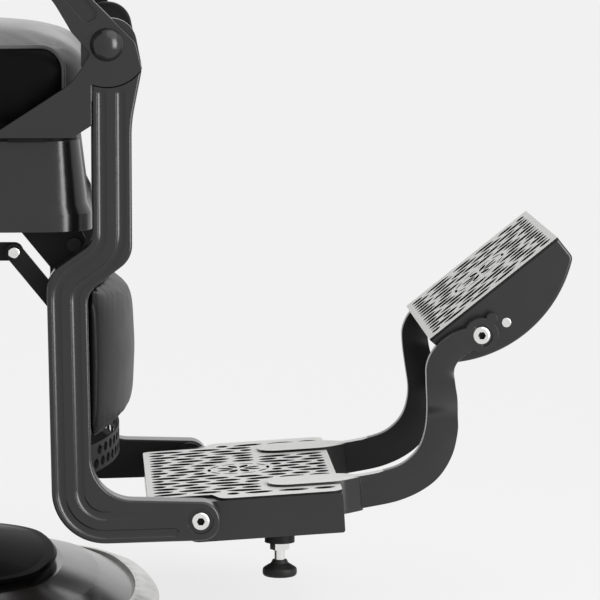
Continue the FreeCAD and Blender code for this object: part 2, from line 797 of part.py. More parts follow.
def arm_frame():
    rail_top = RAIL_BOTTOM + RAIL_H
    web_front = LEG_REAR - SLIDE_GAP
    cover = KNEE_COVER_R
    lead = math.radians(COVER_LEAD)
    end = math.radians(COVER_END)
    shoulder = (cover + (web_front - KNEE_X) * math.sin(lead)) / math.cos(lead)
    lip_x = KNEE_X + cover * math.cos(end) + COVER_LIP * math.sin(end)
    lip_z = KNEE_Z - cover * math.sin(end) + COVER_LIP * math.cos(end)
    outline = [
        (RAIL_REAR, RAIL_BOTTOM, 6), (KNEE_X - 135, RAIL_BOTTOM, 60),
        (KNEE_X - 57, KNEE_Z + 0.32 * RAIL_RISE, 70), (KNEE_X - 39, KNEE_Z + 0.10 * RAIL_RISE, 25),
        (KNEE_X - 18, KNEE_Z - 10, 5), (KNEE_X - 38, KNEE_Z - 0.41 * KNEE_RISE, 60),
        (KNEE_X - 133, PAN_TOP, 2.6), (web_front - 22, PAN_TOP, 8), (web_front, PAN_TOP + 14, 3),
        (web_front, KNEE_Z - shoulder, 1), (KNEE_X - cover * math.tan(lead / 2), KNEE_Z - cover, cover),
        (KNEE_X + cover * math.tan(math.pi / 4 - end / 2), KNEE_Z - cover, cover), (lip_x, lip_z, 3),
        (KNEE_X + cover * 0.67, KNEE_Z + 2.5, 14), (KNEE_X - 14, KNEE_Z + 0.343 * RAIL_RISE, 80),
        (RAIL_FRONT + 4, RAIL_BOTTOM - RAIL_H / 2, 40), (RAIL_FRONT, rail_top, 22),
        (RAIL_REAR, rail_top, 6),
    ]
    arm = slab(outline, -FRAME_OUTER, -ARM_INNER)
    arm = round_face(arm, -FRAME_OUTER, ARM_ROUND)
    channel = [
        (KNEE_X - 23, KNEE_Z + 23, 7), (KNEE_X - 7, KNEE_Z + 32, 7), (RAIL_FRONT + 3, RAIL_BOTTOM - 26, 10),
        (RAIL_FRONT - 25, RAIL_BOTTOM - 27, 10), (KNEE_X - 45, KNEE_Z + 0.34 * RAIL_RISE, 60),
    ]
    arm = arm.cut(slab(channel, -FRAME_OUTER - 1, -FRAME_OUTER + CHANNEL_DEPTH))
    return arm.cut(rod_y(KNEE_X, KNEE_Z, KNEE_PIN_D / 2, -FRAME_OUTER - 1, -ARM_INNER + 1))


def arm_stay():
    return block(STAY_FRONT - STAY_W, STAY_FRONT, -FRAME_OUTER, -ARM_INNER, PAN_TOP, RAIL_BOTTOM)


def arm_pad():
    """Armrest cushion: round ends, full upper edge, tucked in underneath."""
    rear = RAIL_REAR - ARM_PAD_OVERHANG
    front = RAIL_FRONT + ARM_PAD_OVERHANG
    half = ARM_PAD_W / 2
    base = RAIL_BOTTOM + RAIL_H
    radius = half * 0.9
    outline = [(rear, -half, radius), (front, -half, radius), (front, half, radius), (rear, half, radius)]
    pad = tile(outline, base, base + ARM_PAD_H)
    upper = [edge for edge in pad.Edges if edge.BoundBox.ZMin > base + ARM_PAD_H / 2]
    pad = pad.makeFillet(ARM_PAD_SOFT, upper)
    lower = [edge for edge in pad.Edges if edge.BoundBox.ZMax < base + 1e-3]
    pad = pad.makeFillet(CUSHION_WELT, lower)
    pad.translate(Vector(0, -ARM_PAD_Y, 0))
    return pad


def knee_pin():
    pin = rod_y(KNEE_X, KNEE_Z, KNEE_PIN_D / 2, -FRAME_OUTER, -FRAME_INNER + HUB_GAP)
    inner = -FRAME_INNER + HUB_GAP
    return pin.fuse(rod_y(KNEE_X, KNEE_Z, KNEE_FLANGE_R, inner, inner + KNEE_FLANGE_T)).removeSplitter()


def knee_cap():
    """Dome over the outer end of a knee pin."""
    dome_r = (KNEE_CAP_R ** 2 + KNEE_CAP_H ** 2) / (2 * KNEE_CAP_H)
    top = -FRAME_OUTER - KNEE_CAP_H
    ball = Part.makeSphere(dome_r, Vector(KNEE_X, top + dome_r, KNEE_Z), Vector(1, 0, 0))
    return ball.common(rod_y(KNEE_X, KNEE_Z, 2 * KNEE_CAP_R, top - 1, -FRAME_OUTER))


right_arm = arm_frame()
keep("arm_frame_right", right_arm)
keep("arm_frame_left", mirrored(right_arm))
keep("arm_stays", pair(arm_stay()))
right_pad = arm_pad()
keep("arm_pad_right", right_pad)
keep("arm_pad_left", mirrored(right_pad))
keep("knee_pins", pair(knee_pin()))
keep("knee_caps", pair(knee_cap()))


# Brackets under the seat: front stops for the leg rest, rear back hinges

def stop_bracket():
    inner = PUSH_INNER - BRACKET_T - SLIDE_GAP
    points = [
        (BUMPER_X - 56, PAN_BOTTOM, 3), (BUMPER_X - 2, PAN_BOTTOM, 3),
        (BUMPER_X + 2, BUMPER_Z + 30, 10), (BUMPER_X + 14, BUMPER_Z + 4, 8),
        (BUMPER_X - 4, BUMPER_Z - 20, 10), (BUMPER_X - 26, BUMPER_Z - 26, 8),
        (BUMPER_X - 56, BUMPER_Z + 14, 8),
    ]
    return slab(points, -inner - BRACKET_T, -inner)


def stop_bumper():
    face = PUSH_INNER - SLIDE_GAP
    return rod_y(BUMPER_X, BUMPER_Z, BUMPER_R, -face - BUMPER_R * 0.7, -face)


def hinge_bracket():
    face = BACK_ARM_INNER - HUB_GAP
    points = [
        (PAN_REAR + 90, PAN_BOTTOM, 3), (PAN_REAR - 18, PAN_BOTTOM, 6),
        (HINGE_X + HINGE_R, HINGE_Z + HINGE_R, 20),
        (HINGE_X - HINGE_R, HINGE_Z + HINGE_R, HINGE_R - 1),
        (HINGE_X - HINGE_R, HINGE_Z - HINGE_R - 2, 20),
        (PAN_REAR, PAN_BOTTOM - 38, 30), (PAN_REAR + 90, PAN_BOTTOM - 28, 8),
    ]
    bracket = slab(points, -face, -face + BRACKET_T)
    pin = rod_y(HINGE_X, HINGE_Z, HINGE_PIN_D / 2, -face - CRANK_T - 2 * HUB_GAP, -face)
    return bracket.fuse(pin).removeSplitter()


keep("stop_brackets", pair(stop_bracket()))
keep("stop_bumpers", pair(stop_bumper()))
keep("hinge_brackets", pair(hinge_bracket()))


# Leg rest: castings, link arms, bowed panel, pad and pierced skirt

def offset_path(points, distance):
    """Shift a path of (x, z, radius) corners sideways; left of travel is positive."""
    normals = []
    for (x0, z0, _), (x1, z1, _) in zip(points, points[1:]):
        length = math.hypot(x1 - x0, z1 - z0)
        normals.append((-(z1 - z0) / length, (x1 - x0) / length))
    shifted = []
    for i, (x, z, radius) in enumerate(points):
        before = normals[max(i - 1, 0)]
        after = normals[min(i, len(normals) - 1)]
        scale = distance / (1 + before[0] * after[0] + before[1] * after[1])
        turn = before[0] * after[1] - before[1] * after[0]
        shift = math.copysign(distance, turn)
        x_new = x + (before[0] + after[0]) * scale
        z_new = z + (before[1] + after[1]) * scale
        shifted.append((x_new, z_new, radius - shift if radius else 0))
    return shifted


def leg_frame():
    front = LEG_REAR + LEG_W
    sole = TOE_Z - TOE_R
    heel_z = sole - 4
    shin_front_top = SHIN_REAR_TOP + SHIN_W + 1.5
    outline = [
        (KNEE_X - HUB_R, KNEE_Z + HUB_R, HUB_R - 0.1), (KNEE_X + HUB_R, KNEE_Z + HUB_R, HUB_R - 0.1),
        (front + LEG_BULGE, KNEE_Z - 26, 40), (front, KNEE_Z - 86, 150), (front, BEND_FRONT_Z, 30),
        (shin_front_top, BEND_FRONT_Z - BEND_FRONT_DROP, 22),
        (SHIN_REAR_FOOT + SHIN_W, sole + FOOT_BAR_H + 3, INSTEP_R),
        (TOE_X + TOE_R, TOE_Z + TOE_R - 1, TOE_R - 1), (TOE_X + TOE_R, sole, TOE_R - 1),
        (SHIN_REAR_FOOT, heel_z, HEEL_R), (SHIN_REAR_TOP, BEND_REAR_Z - BEND_REAR_DROP, 35),
        (LEG_REAR, BEND_REAR_Z, 20), (LEG_REAR, KNEE_Z - 40, 6), (KNEE_X - HUB_R, KNEE_Z - 26, 10),
    ]
    leg = slab(outline, -FRAME_OUTER, -FRAME_INNER)
    leg = round_face(leg, -FRAME_OUTER, LEG_ROUND)
    leg = round_face(leg, -FRAME_INNER, EDGE_ROUND)
    seat_y = -FRAME_OUTER + ARM_THICK + HUB_GAP
    leg = leg.cut(rod_y(KNEE_X, KNEE_Z, KNEE_COVER_R + KNEE_GAP, -FRAME_OUTER - 1, seat_y))
    boss_inner = -RAIL_OUT - SLIDE_GAP
    leg = leg.fuse(rod_y(TOE_X, TOE_Z, TOE_BOSS_R, -FRAME_INNER, boss_inner))
    leg = leg.cut(rod_y(KNEE_X, KNEE_Z, KNEE_PIN_D / 2 + FIT, -FRAME_OUTER, -FRAME_INNER + 1))
    leg = leg.cut(rod_y(TOE_X, TOE_Z, HINGE_BOLT_D / 2, -FRAME_OUTER - 1, boss_inner + 1))
    leg = leg.cut(rod_y(TOE_X, TOE_Z, TOE_BORE_R, -FRAME_OUTER - 1, -FRAME_OUTER + BORE_DEPTH))
    rear = [
        (LEG_REAR, KNEE_Z - GROOVE_TOP_FALL, 0), (LEG_REAR, BEND_REAR_Z, 20),
        (SHIN_REAR_TOP, BEND_REAR_Z - BEND_REAR_DROP, GROOVE_BEND_R), (SHIN_REAR_FOOT, heel_z, HEEL_R),
        (TOE_X - GROOVE_TOE_GAP, sole - 1, 0),
    ]
    groove_y = -FRAME_OUTER - GROOVE_R + GROOVE_DEPTH
    for offset in GROOVE_OFFSETS:
        corners = offset_path(rear, offset)
        path = Part.Wire(rounded_edges(corners, on_side(groove_y), False))
        start = Vector(corners[0][0], groove_y, corners[0][1])
        end = Vector(corners[-1][0], groove_y, corners[-1][1])
        ring = Part.Wire([Part.makeCircle(GROOVE_R, start, Vector(0, 0, -1))])
        leg = leg.cut(path.makePipeShell([ring], True, False))
        leg = leg.cut([Part.makeSphere(GROOVE_R, start), Part.makeSphere(GROOVE_R, end)])
    return leg.removeSplitter()


def link_arm():
    arm = slab(strip((LINK_X, LINK_Z), (LINK_ROOT_X, LINK_ROOT_Z), LINK_W), -FRAME_INNER, -LINK_INNER)
    return arm.cut(rod_y(LINK_X, LINK_Z, LINK_BOLT_D / 2, -FRAME_INNER - 1, -LINK_INNER + 1))


def link_bolt():
    shank = LINK_T + SLIDE_GAP + PUSH_T
    return button_bolt(LINK_X, LINK_Z, -FRAME_INNER, LINK_BOLT_D, shank, LINK_HEAD_D, BOLT_HEAD_H - 1)


def foot_hinge_bolt():
    shank = FRAME_OUTER - RAIL_OUT + RAIL_W - BORE_DEPTH
    return button_bolt(TOE_X, TOE_Z, -FRAME_OUTER + BORE_DEPTH, HINGE_BOLT_D, shank)


def push_bar():
    bar = slab(strip((CRANK_X, CRANK_Z), (LINK_X, LINK_Z), LINK_W), -PUSH_OUTER, -PUSH_INNER)
    play = CRANK_PIN_D / 2 + OPEN_PIVOT_PLAY
    eye = rod_y(CRANK_X, CRANK_Z, play + LINK_W / 3, -PUSH_OUTER, -PUSH_INNER)
    bar = bar.fuse(eye).removeSplitter()
    bar = bar.cut(rod_y(CRANK_X, CRANK_Z, play, -PUSH_OUTER - 1, -PUSH_INNER + 1))
    return bar.cut(rod_y(LINK_X, LINK_Z, LINK_BOLT_D / 2 + FIT, -PUSH_OUTER - 1, -PUSH_INNER + 1))


def calf_panel():
    face = Part.Face(bowed_plan(PANEL_END_X, PANEL_BOW, FRAME_INNER, PANEL_T, PANEL_LOW))
    return face.extrude(Vector(0, 0, PANEL_HIGH - PANEL_LOW))


def calf_pad():
    """Bowed cushion: thick in the middle of its height, drawn in at top and foot."""
    wires = []
    swell = ((0.0, 0.12), (0.07, 0.62), (0.22, 0.92), (0.5, 1.0), (0.78, 0.92), (0.93, 0.62), (1.0, 0.12))
    for level, fill in swell:
        at = on_level(PAD_LOW + level * (PAD_HIGH - PAD_LOW))
        half = PAD_HALF - 6 * (1 - fill)
        back = PANEL_END_X + SLIDE_GAP + PANEL_BOW * (1 - (half / FRAME_INNER) ** 2)
        middle = PANEL_END_X + SLIDE_GAP + PANEL_BOW
        front_end = back + PAD_END_T * (0.3 + 0.7 * fill)
        front_middle = middle + PAD_MIDDLE_T * (0.2 + 0.8 * fill)
        rear_arc = Part.Arc(at(back, half), at(middle, 0), at(back, -half)).toShape()
        front_arc = Part.Arc(at(front_end, -half), at(front_middle, 0), at(front_end, half)).toShape()
        right = Part.makeLine(at(back, -half), at(front_end, -half))
        left = Part.makeLine(at(front_end, half), at(back, half))
        wires.append(Part.Wire([rear_arc, right, front_arc, left]))
    side = PAD_HALF + 1
    front_view = [
        (-side, PAD_LOW - 1, PAD_CORNER_R), (side, PAD_LOW - 1, PAD_CORNER_R),
        (side, PAD_HIGH + 1, PAD_CORNER_R), (-side, PAD_HIGH + 1, PAD_CORNER_R),
    ]
    face = Part.Face(loop(front_view, lambda y, z: Vector(PANEL_END_X, y, z)))
    return Part.makeLoft(wires, True, False).common(face.extrude(Vector(2 * PANEL_BOW + PAD_MIDDLE_T, 0, 0)))


def leg_skirt():
    """Bowed sheet pierced by two staggered rows of slots."""
    sheet = Part.Face(bowed_plan(SKIRT_END_X, SKIRT_BOW, FRAME_INNER, SKIRT_T, SKIRT_FOOT))
    sheet = sheet.extrude(Vector(0, 0, SKIRT_H))
    height = SKIRT_H
    tall = height * 0.34
    wide = SLOT_L * 0.42
    pitch = wide + tall * 0.6
    count = int((FRAME_INNER - wide) // pitch)
    cutters = []
    reach = SKIRT_BOW + 4 * SKIRT_T
    for row in (0, 1):
        z = SKIRT_FOOT + height * (0.28 + 0.44 * row)
        for i in range(-count, count + 1 - row):
            y = (i + 0.5 * row) * pitch
            wire = leaf(y, z, wide, tall, lambda u, v: Vector(SKIRT_END_X - 2 * SKIRT_T, u, v))
            cutters.append(Part.Face(wire).extrude(Vector(reach, 0, 0)))
    return sheet.cut(cutters)


right_leg = leg_frame()
keep("leg_frame_right", right_leg)
keep("leg_frame_left", mirrored(right_leg))
keep("link_arms", pair(link_arm()))
keep("link_bolts", pair(link_bolt()))
keep("foot_hinge_bolts", pair(foot_hinge_bolt()))
right_bar = push_bar()
keep("push_bar_right", right_bar)
keep("push_bar_left", mirrored(right_bar))
keep("leg_cross_tube", rod_y(TUBE_X, TUBE_Z, TUBE_D / 2, -FRAME_INNER, FRAME_INNER))
keep("calf_panel", calf_panel())
keep("calf_pad", calf_pad())
keep("leg_skirt", leg_skirt())


# Footplate: channel rails, cross bars, pierced grating, curved flip arms

def tray_rail():
    low = TRAY_LOW
    points = [
        (-TOE_BOSS_R, TRAY_TOP, TRAY_TOP), (TRAY_FRONT, TRAY_TOP, 4),
        (TRAY_FRONT, low, 3), (-TOE_BOSS_R, low, 18),
    ]
    rail = slab(points, -RAIL_OUT, -RAIL_OUT + RAIL_W)
    hollow = [
        (TOE_BOSS_R, TRAY_TOP - TRAY_WALL, 4), (TRAY_FRONT - TRAY_WALL, TRAY_TOP - TRAY_WALL, 4),
        (TRAY_FRONT - TRAY_WALL, low + TRAY_WALL, 4), (TOE_BOSS_R, low + TRAY_WALL, 4),
    ]
    return rail.cut(slab(hollow, -RAIL_OUT + TRAY_WALL, -RAIL_OUT + RAIL_W + 1))


def foot_tray():
    low = TRAY_LOW
    notch = FOOT_LOW
    inner = RAIL_IN
    rail = tray_rail()
    stringer = block(TRAY_REAR, TRAY_FRONT, -inner - 0.5, -inner + BAR_W, notch, TRAY_TOP)
    front = block(TRAY_FRONT - BAR_W, TRAY_FRONT, -inner - 0.5, inner + 0.5, low, TRAY_TOP)
    rear = block(TRAY_REAR, TRAY_REAR + BAR_W, -inner, inner, notch, TRAY_TOP)
    shelf = block(FOOT_REAR, FOOT_REAR + BAR_W, -inner - 0.5, inner + 0.5, low, notch)
    deck = block(TRAY_REAR, TRAY_FRONT, -inner, inner, TRAY_TOP - DECK_T, TRAY_TOP)
    tray = rail.fuse([mirrored(rail), stringer, mirrored(stringer), front, rear, shelf, deck])
    seat = block(FOOT_REAR - 1, TRAY_FRONT + 1, -FOOT_OUTER, -FOOT_INNER, notch, TRAY_TOP + 1)
    tray = tray.cut(seat).cut(mirrored(seat))
    return tray.removeSplitter()


def grating(outline, centres, middle, z, thick):
    """Flat plate with slots at the given centres and a rosette at its middle."""
    wires = [loop(outline, on_level(z))]
    for x, y in centres:
        wires.append(leaf(x, y, SLOT_L, SLOT_W, on_level(z)))
    return Part.Face(wires + rosette(middle, z)).extrude(Vector(0, 0, thick))


def foot_grating():
    half = RAIL_OUT - SLIDE_GAP
    step = TOE_BOSS_R
    right = [
        (TRAY_REAR, -REAR_HALF, 8), (step - 4, -REAR_HALF, 4),
        (step + 6, -half, 10), (TRAY_FRONT, -half, 14),
        (TRAY_FRONT, -FOOT_OUTER, 2), (FOOT_REAR, -FOOT_OUTER, FOOT_END_R),
        (FOOT_REAR, -FOOT_INNER, FOOT_END_R), (TRAY_FRONT, -FOOT_INNER, 2),
    ]
    left = [(x, -y, r) for x, y, r in reversed(right)]
    middle = (TRAY_REAR + TRAY_FRONT) / 2
    centres = []
    for x, y in leaf_centres(TRAY_REAR + GRATING_RIM, TRAY_FRONT - GRATING_RIM, half - GRATING_RIM):
        near_y = abs(y) - SLOT_W / 2
        far_y = abs(y) + SLOT_W / 2
        behind = x - SLOT_L / 2 < step + GRATING_RIM and far_y > REAR_HALF - GRATING_RIM
        beside_foot = far_y > FOOT_INNER - GRATING_RIM and near_y < FOOT_OUTER + GRATING_RIM / 2
        in_foot = beside_foot and x + SLOT_L / 2 > FOOT_REAR - GRATING_RIM / 2
        if off_disc(x, y, middle) and not (behind or in_foot):
            centres.append((x, y))
    return grating(right + left, centres, middle, TRAY_TOP, GRATING_T)


def flip_arm():
    """Curved strap on edge: broad foot in the tray, neck bent outwards to the pivot eye."""
    eye_in = FLIP_HALF + FLIP_ARM_GAP
    eye_out = eye_in + FLIP_ARM_T
    middle = (FOOT_INNER + FOOT_OUTER) / 2
    neck_in = middle - FLIP_ARM_T / 2
    neck_out = middle + FLIP_ARM_T / 2
    slope = math.tan(math.radians(TRAY_TILT))
    foot_front = TOE_X + TRAY_FRONT
    foot_rear = TOE_X + FOOT_REAR
    rear_rise = TOE_Z + FOOT_REAR * slope
    front_rise = TOE_Z + TRAY_FRONT * slope
    run = FLIP_X - foot_front
    rise = FLIP_Z - front_rise - TRAY_TOP
    unit = min(run, rise)

    tray_top = front_rise + TRAY_TOP

    def along(shares):
        return [(foot_front + x * run, tray_top + z * rise, radius * unit) for x, z, radius in shares]

    proud = GRATING_T + FOOT_PROUD
    side_view = [
        (foot_rear, rear_rise + TRAY_TOP + proud, 3), (foot_front, tray_top + proud, 0.38 * unit),
    ]
    side_view += along(ARM_UPPER)
    side_view += [
        (FLIP_X, FLIP_Z + FLIP_EYE_R * 0.6, 3), (FLIP_X + FLIP_EYE_R * 0.4, FLIP_Z - FLIP_EYE_R * 0.7, 3),
    ]
    side_view += along(ARM_LOWER)
    side_view += [(foot_front, front_rise + FOOT_LOW, 0.38 * unit), (foot_rear, rear_rise + FOOT_LOW, 3)]
    low = rear_rise + FOOT_LOW - 1
    high = FLIP_Z + 2 * FLIP_EYE_R
    flare_low = tray_top + FLARE_START * rise
    flare_high = tray_top + FLARE_END * rise
    front_view = [
        (-neck_out, low, 0), (-neck_out, flare_low, NECK_R),
        (-eye_out, flare_high, FLARE_R), (-eye_out, high, 0),
        (-eye_in, high, 0), (-eye_in, flare_high + FLARE_SHIFT, EYE_R),
        (-neck_in, flare_low + FLARE_SHIFT, FLARE_R), (-neck_in, low, 0),
    ]
    taper = foot_front + run * 0.22
    plan_view = [
        (foot_rear, -FOOT_OUTER, FOOT_END_R), (foot_front, -FOOT_OUTER, 12), (taper, -neck_out, 25),
        (FLIP_X, -neck_out, 2), (FLIP_X, -neck_in, 2), (taper, -neck_in, 25), (foot_front, -FOOT_INNER, 12),
        (foot_rear, -FOOT_INNER, FOOT_END_R),
    ]
    blank = slab(side_view, -eye_out, -FOOT_INNER)
    band = Part.Face(loop(front_view, lambda y, z: Vector(foot_rear, y, z)))
    strap = blank.common(band.extrude(Vector(FLIP_X - foot_rear + FLIP_EYE_R, 0, 0)))
    foot = blank.common(tile(plan_view, low, flare_low - FLIP_ARM_T))
    eye = rod_y(FLIP_X, FLIP_Z, FLIP_EYE_R, -eye_out, -eye_in)
    boss = rod_y(FLIP_X + FLIP_BOSS_DX, FLIP_Z + FLIP_BOSS_DZ, FLIP_BOSS_R, -eye_out, -eye_in)
    arm = strap.fuse([foot, eye, boss]).removeSplitter()
    arm = arm.cut(rod_y(FLIP_X, FLIP_Z, EYE_BORE_R, -eye_out - 1, -eye_out + BORE_DEPTH))
    return arm.cut(rod_y(FLIP_X, FLIP_Z, HINGE_BOLT_D / 2, -eye_out - 1, -eye_in + 1))


def flip_pivot_bolt():
    face = FLIP_HALF + FLIP_ARM_GAP + FLIP_ARM_T - BORE_DEPTH
    return button_bolt(FLIP_X, FLIP_Z, -face, HINGE_BOLT_D, face - FLIP_HALF + 2 * FLIP_SIDE_T)


def foot_socket(tray):
    socket = rod_z(LEVEL_X, -LEVEL_Y, SOCKET_R, SOCKET_BOTTOM, SOCKET_TOP)
    socket = socket.cut(rod_z(LEVEL_X, -LEVEL_Y, STEM_D / 2 + FIT, SOCKET_BOTTOM - 1, SOCKET_TOP + 1))
    return socket.cut(tray).Solids[0]


def footplate():
    tray = placed(foot_tray(), TOE_X, TOE_Z, TRAY_TILT)
    for side in (-1, 1):
        tray = tray.cut(rod_z(LEVEL_X, side * LEVEL_Y, STEM_D / 2 + HUB_GAP, 80, TOE_Z))
    bore = HINGE_BOLT_D / 2 + FIT
    tray = tray.cut(rod_y(TOE_X, TOE_Z, bore, -RAIL_OUT - 1, -RAIL_OUT + RAIL_W + BAR_W + 1))
    tray = tray.cut(rod_y(TOE_X, TOE_Z, bore, RAIL_OUT - RAIL_W - BAR_W - 1, RAIL_OUT + 1))
    keep("foot_tray", tray)
    keep("foot_grating", placed(foot_grating(), TOE_X, TOE_Z, TRAY_TILT))
    arm = flip_arm().cut([tray, PIECES["foot_grating"]])
    keep("flip_arm_right", arm)
    keep("flip_arm_left", mirrored(arm))
    keep("flip_pivot_bolts", pair(flip_pivot_bolt()))
    keep("foot_sockets", pair(foot_socket(tray)))


footplate()


# Levelling feet: threaded stem with lock nut, and a round glide

def level_stem():
    stem = rod_z(LEVEL_X, -LEVEL_Y, STEM_D / 2, GLIDE_NECK_TOP, STEM_TOP)
    return stem.fuse(hexagon(NUT_AF, NUT_BOTTOM, NUT_BOTTOM + NUT_H, LEVEL_X, -LEVEL_Y)).removeSplitter()


def level_glide():
    profile = [
        (0, GLIDE_BOTTOM, 0), (GLIDE_R, GLIDE_BOTTOM, 4), (GLIDE_R, GLIDE_BOTTOM + GLIDE_H * 0.6, 4),
        (GLIDE_NECK_R + 2, GLIDE_BOTTOM + GLIDE_H, 2), (GLIDE_NECK_R, GLIDE_NECK_TOP, 1),
        (0, GLIDE_NECK_TOP, 0),
    ]
    face = Part.Face(loop(profile, on_side(0)))
    glide = face.revolve(Vector(0, 0, 0), Vector(0, 0, 1), 360)
    glide.translate(Vector(LEVEL_X, -LEVEL_Y, 0))
    return glide


for side, shape in (("right", level_stem()), ("left", mirrored(level_stem()))):
    keep("level_stem_" + side, shape)
for side, shape in (("right", level_glide()), ("left", mirrored(level_glide()))):
    keep("level_glide_" + side, shape)


# Flip-over footrest: side plates, pierced foot plate, padded calf side

def flip_outline(inset, y):
    at = on_side(y)
    near = at(FLIP_NEAR + inset, FLIP_FACE)
    far = at(FLIP_FAR - inset, FLIP_FACE)
    nose = at(FLIP_FAR - inset, FLIP_NOSE)
    belly = at((FLIP_NEAR + FLIP_FAR) / 2, FLIP_BELLY + inset)
    heel = at(FLIP_HEEL_U + inset, FLIP_HEEL_N + inset)
    return Part.Wire(
        [
            Part.makeLine(near, far), Part.makeLine(far, nose), Part.Arc(nose, belly, heel).toShape(),
            Part.makeLine(heel, near),
        ]
    )


def flip_side():
    plate = Part.Face(flip_outline(0, -FLIP_HALF)).extrude(Vector(0, FLIP_SIDE_T, 0))
    lengthwise = []
    for edge in plate.Edges:
        box = edge.BoundBox
        low_corner = box.ZMax < FLIP_FACE - 1
        if box.YLength > FLIP_SIDE_T / 2 and box.XLength < 1e-4 and low_corner:
            lengthwise.append(edge)
    plate = plate.makeFillet(FLIP_CORNER_R, lengthwise)
    outer = []
    for edge in plate.Edges:
        box = edge.BoundBox
        if abs(box.YMax + FLIP_HALF) < 1e-4 and box.ZMin < FLIP_FACE - 1:
            outer.append(edge)
    plate = plate.makeFillet(FLIP_EDGE_R, outer)
    plate = plate.cut(rod_y(0, 0, HINGE_BOLT_D / 2 + FIT, -FLIP_HALF - 1, 0))
    return plate.cut(rod_y(FLIP_PIN_U, FLIP_PIN_N, FLIP_PIN_D / 4, -FLIP_HALF - 1, 0))


def flip_grating():
    outline = [
        (FLIP_NEAR, -FLIP_HALF, 3), (FLIP_FAR, -FLIP_HALF, 3),
        (FLIP_FAR, FLIP_HALF, 3), (FLIP_NEAR, FLIP_HALF, 3),
    ]
    middle = (FLIP_NEAR + FLIP_FAR) / 2
    centres = []
    for x, y in leaf_centres(FLIP_NEAR + GRATING_RIM, FLIP_FAR - GRATING_RIM, FLIP_HALF - GRATING_RIM):
        if off_disc(x, y, middle):
            centres.append((x, y))
    return grating(outline, centres, middle, FLIP_FACE, FLIP_GRATING_T)


def flip_pad():
    """Padded belly between the side plates, fullest in the middle."""
    half = FLIP_HALF - FLIP_SIDE_T - HUB_GAP
    wires = []
    for share, inset in ((-1.0, 6.0), (-0.9, 2.5), (0.0, 1.0), (0.9, 2.5), (1.0, 6.0)):
        wires.append(flip_outline(inset, share * half))
    pad = Part.makeLoft(wires, True, True)
    shaft = HINGE_BOLT_D / 2 + 1
    pad = pad.cut(rod_y(0, 0, shaft, -half - 1, -half + 2 * FLIP_SIDE_T))
    pad = pad.cut(rod_y(0, 0, shaft, half - 2 * FLIP_SIDE_T, half + 1))
    pin = FLIP_PIN_D / 4
    pad = pad.cut(rod_y(FLIP_PIN_U, FLIP_PIN_N, pin, -half - 1, -half + FLIP_SIDE_T))
    return pad.cut(rod_y(FLIP_PIN_U, FLIP_PIN_N, pin, half - FLIP_SIDE_T, half + 1))


def flip_pin():
    shank = 2 * FLIP_SIDE_T
    head = FLIP_ARM_GAP - SLIDE_GAP
    return button_bolt(FLIP_PIN_U, FLIP_PIN_N, -FLIP_HALF, FLIP_PIN_D / 2, shank, FLIP_PIN_D, head)


right_side = placed(flip_side(), FLIP_X, FLIP_Z, FLIP_TILT)
keep("flip_side_right", right_side)
keep("flip_side_left", mirrored(right_side))
keep("flip_grating", placed(flip_grating(), FLIP_X, FLIP_Z, FLIP_TILT))
keep("flip_pad", placed(flip_pad(), FLIP_X, FLIP_Z, FLIP_TILT))
keep("flip_pins", pair(placed(flip_pin(), FLIP_X, FLIP_Z, FLIP_TILT)))


# Back: hinged arms with cranks, panel, cushion, cover and headrest

def back_arm():
    rear = BACK_ARM_X - BACK_ARM_W
    upper = [
        (rear, BACK_ARM_TOP, 8), (BACK_ARM_X, BACK_ARM_TOP, 8), (BACK_ARM_X, BACK_LOW - 10, 30),
        (20, 12, 8), (-4, -22, 8), (-24, -8, 12), (rear, BACK_LOW, 30),
    ]
    arm = on_back(slab(upper, -BACK_ARM_OUTER, -BACK_ARM_INNER))
    crank = slab(strip((CRANK_X, CRANK_Z), (HINGE_X, HINGE_Z), CRANK_W), -BACK_ARM_OUTER, -BACK_ARM_INNER)
    hub = rod_y(HINGE_X, HINGE_Z, HINGE_R, -BACK_ARM_OUTER, -BACK_ARM_INNER)
    bore = rod_y(HINGE_X, HINGE_Z, HINGE_PIN_D / 2 + FIT, -BACK_ARM_OUTER - 1, -BACK_ARM_INNER + 1)
    pin = rod_y(CRANK_X, CRANK_Z, CRANK_PIN_D / 2, -PUSH_OUTER, -BACK_ARM_OUTER)
    arm = arm.fuse([crank, hub]).removeSplitter().cut(bore)
    return arm.fuse(pin).removeSplitter()


def on_back(shape):
    return placed(shape, HINGE_X, HINGE_Z, BACK_TILT)


def upright_pad(low, height, half, thick, radius, crown, rear):
    """Pillow stood up on the back, its flat side at x = rear."""
    pad = pillow(height, 2 * half, thick - crown, radius, crown)
    pad.rotate(Vector(0, 0, 0), Vector(0, 1, 0), 90)
    pad.translate(Vector(rear, 0, low + height / 2))
    return pad


def back_cover():
    rear = BACK_ARM_X - COVER_DEPTH
    low = BACK_LOW - 2
    outline = [
        (rear, -COVER_HALF, COVER_EDGE_R), (BACK_ARM_X, -COVER_HALF, 1), (BACK_ARM_X, COVER_HALF, 1),
        (rear, COVER_HALF, COVER_EDGE_R),
    ]
    wall = COVER_WALL
    hollow = [
        (rear + wall, -COVER_HALF + wall, COVER_EDGE_R - wall), (BACK_ARM_X + 1, -COVER_HALF + wall, 1),
        (BACK_ARM_X + 1, COVER_HALF - wall, 1), (rear + wall, COVER_HALF - wall, COVER_EDGE_R - wall),
    ]
    high = BACK_HIGH - COVER_DOWN
    cover = tile(outline, low, high).cut(tile(hollow, low - 1, high - wall))
    slot_rear = BACK_ARM_X - COVER_DEPTH / 2 - POST_T
    slot_half = POST_W / 2 + 1
    return cover.cut(block(slot_rear, BACK_ARM_X, -slot_half, slot_half, BACK_HIGH - 30, BACK_HIGH))


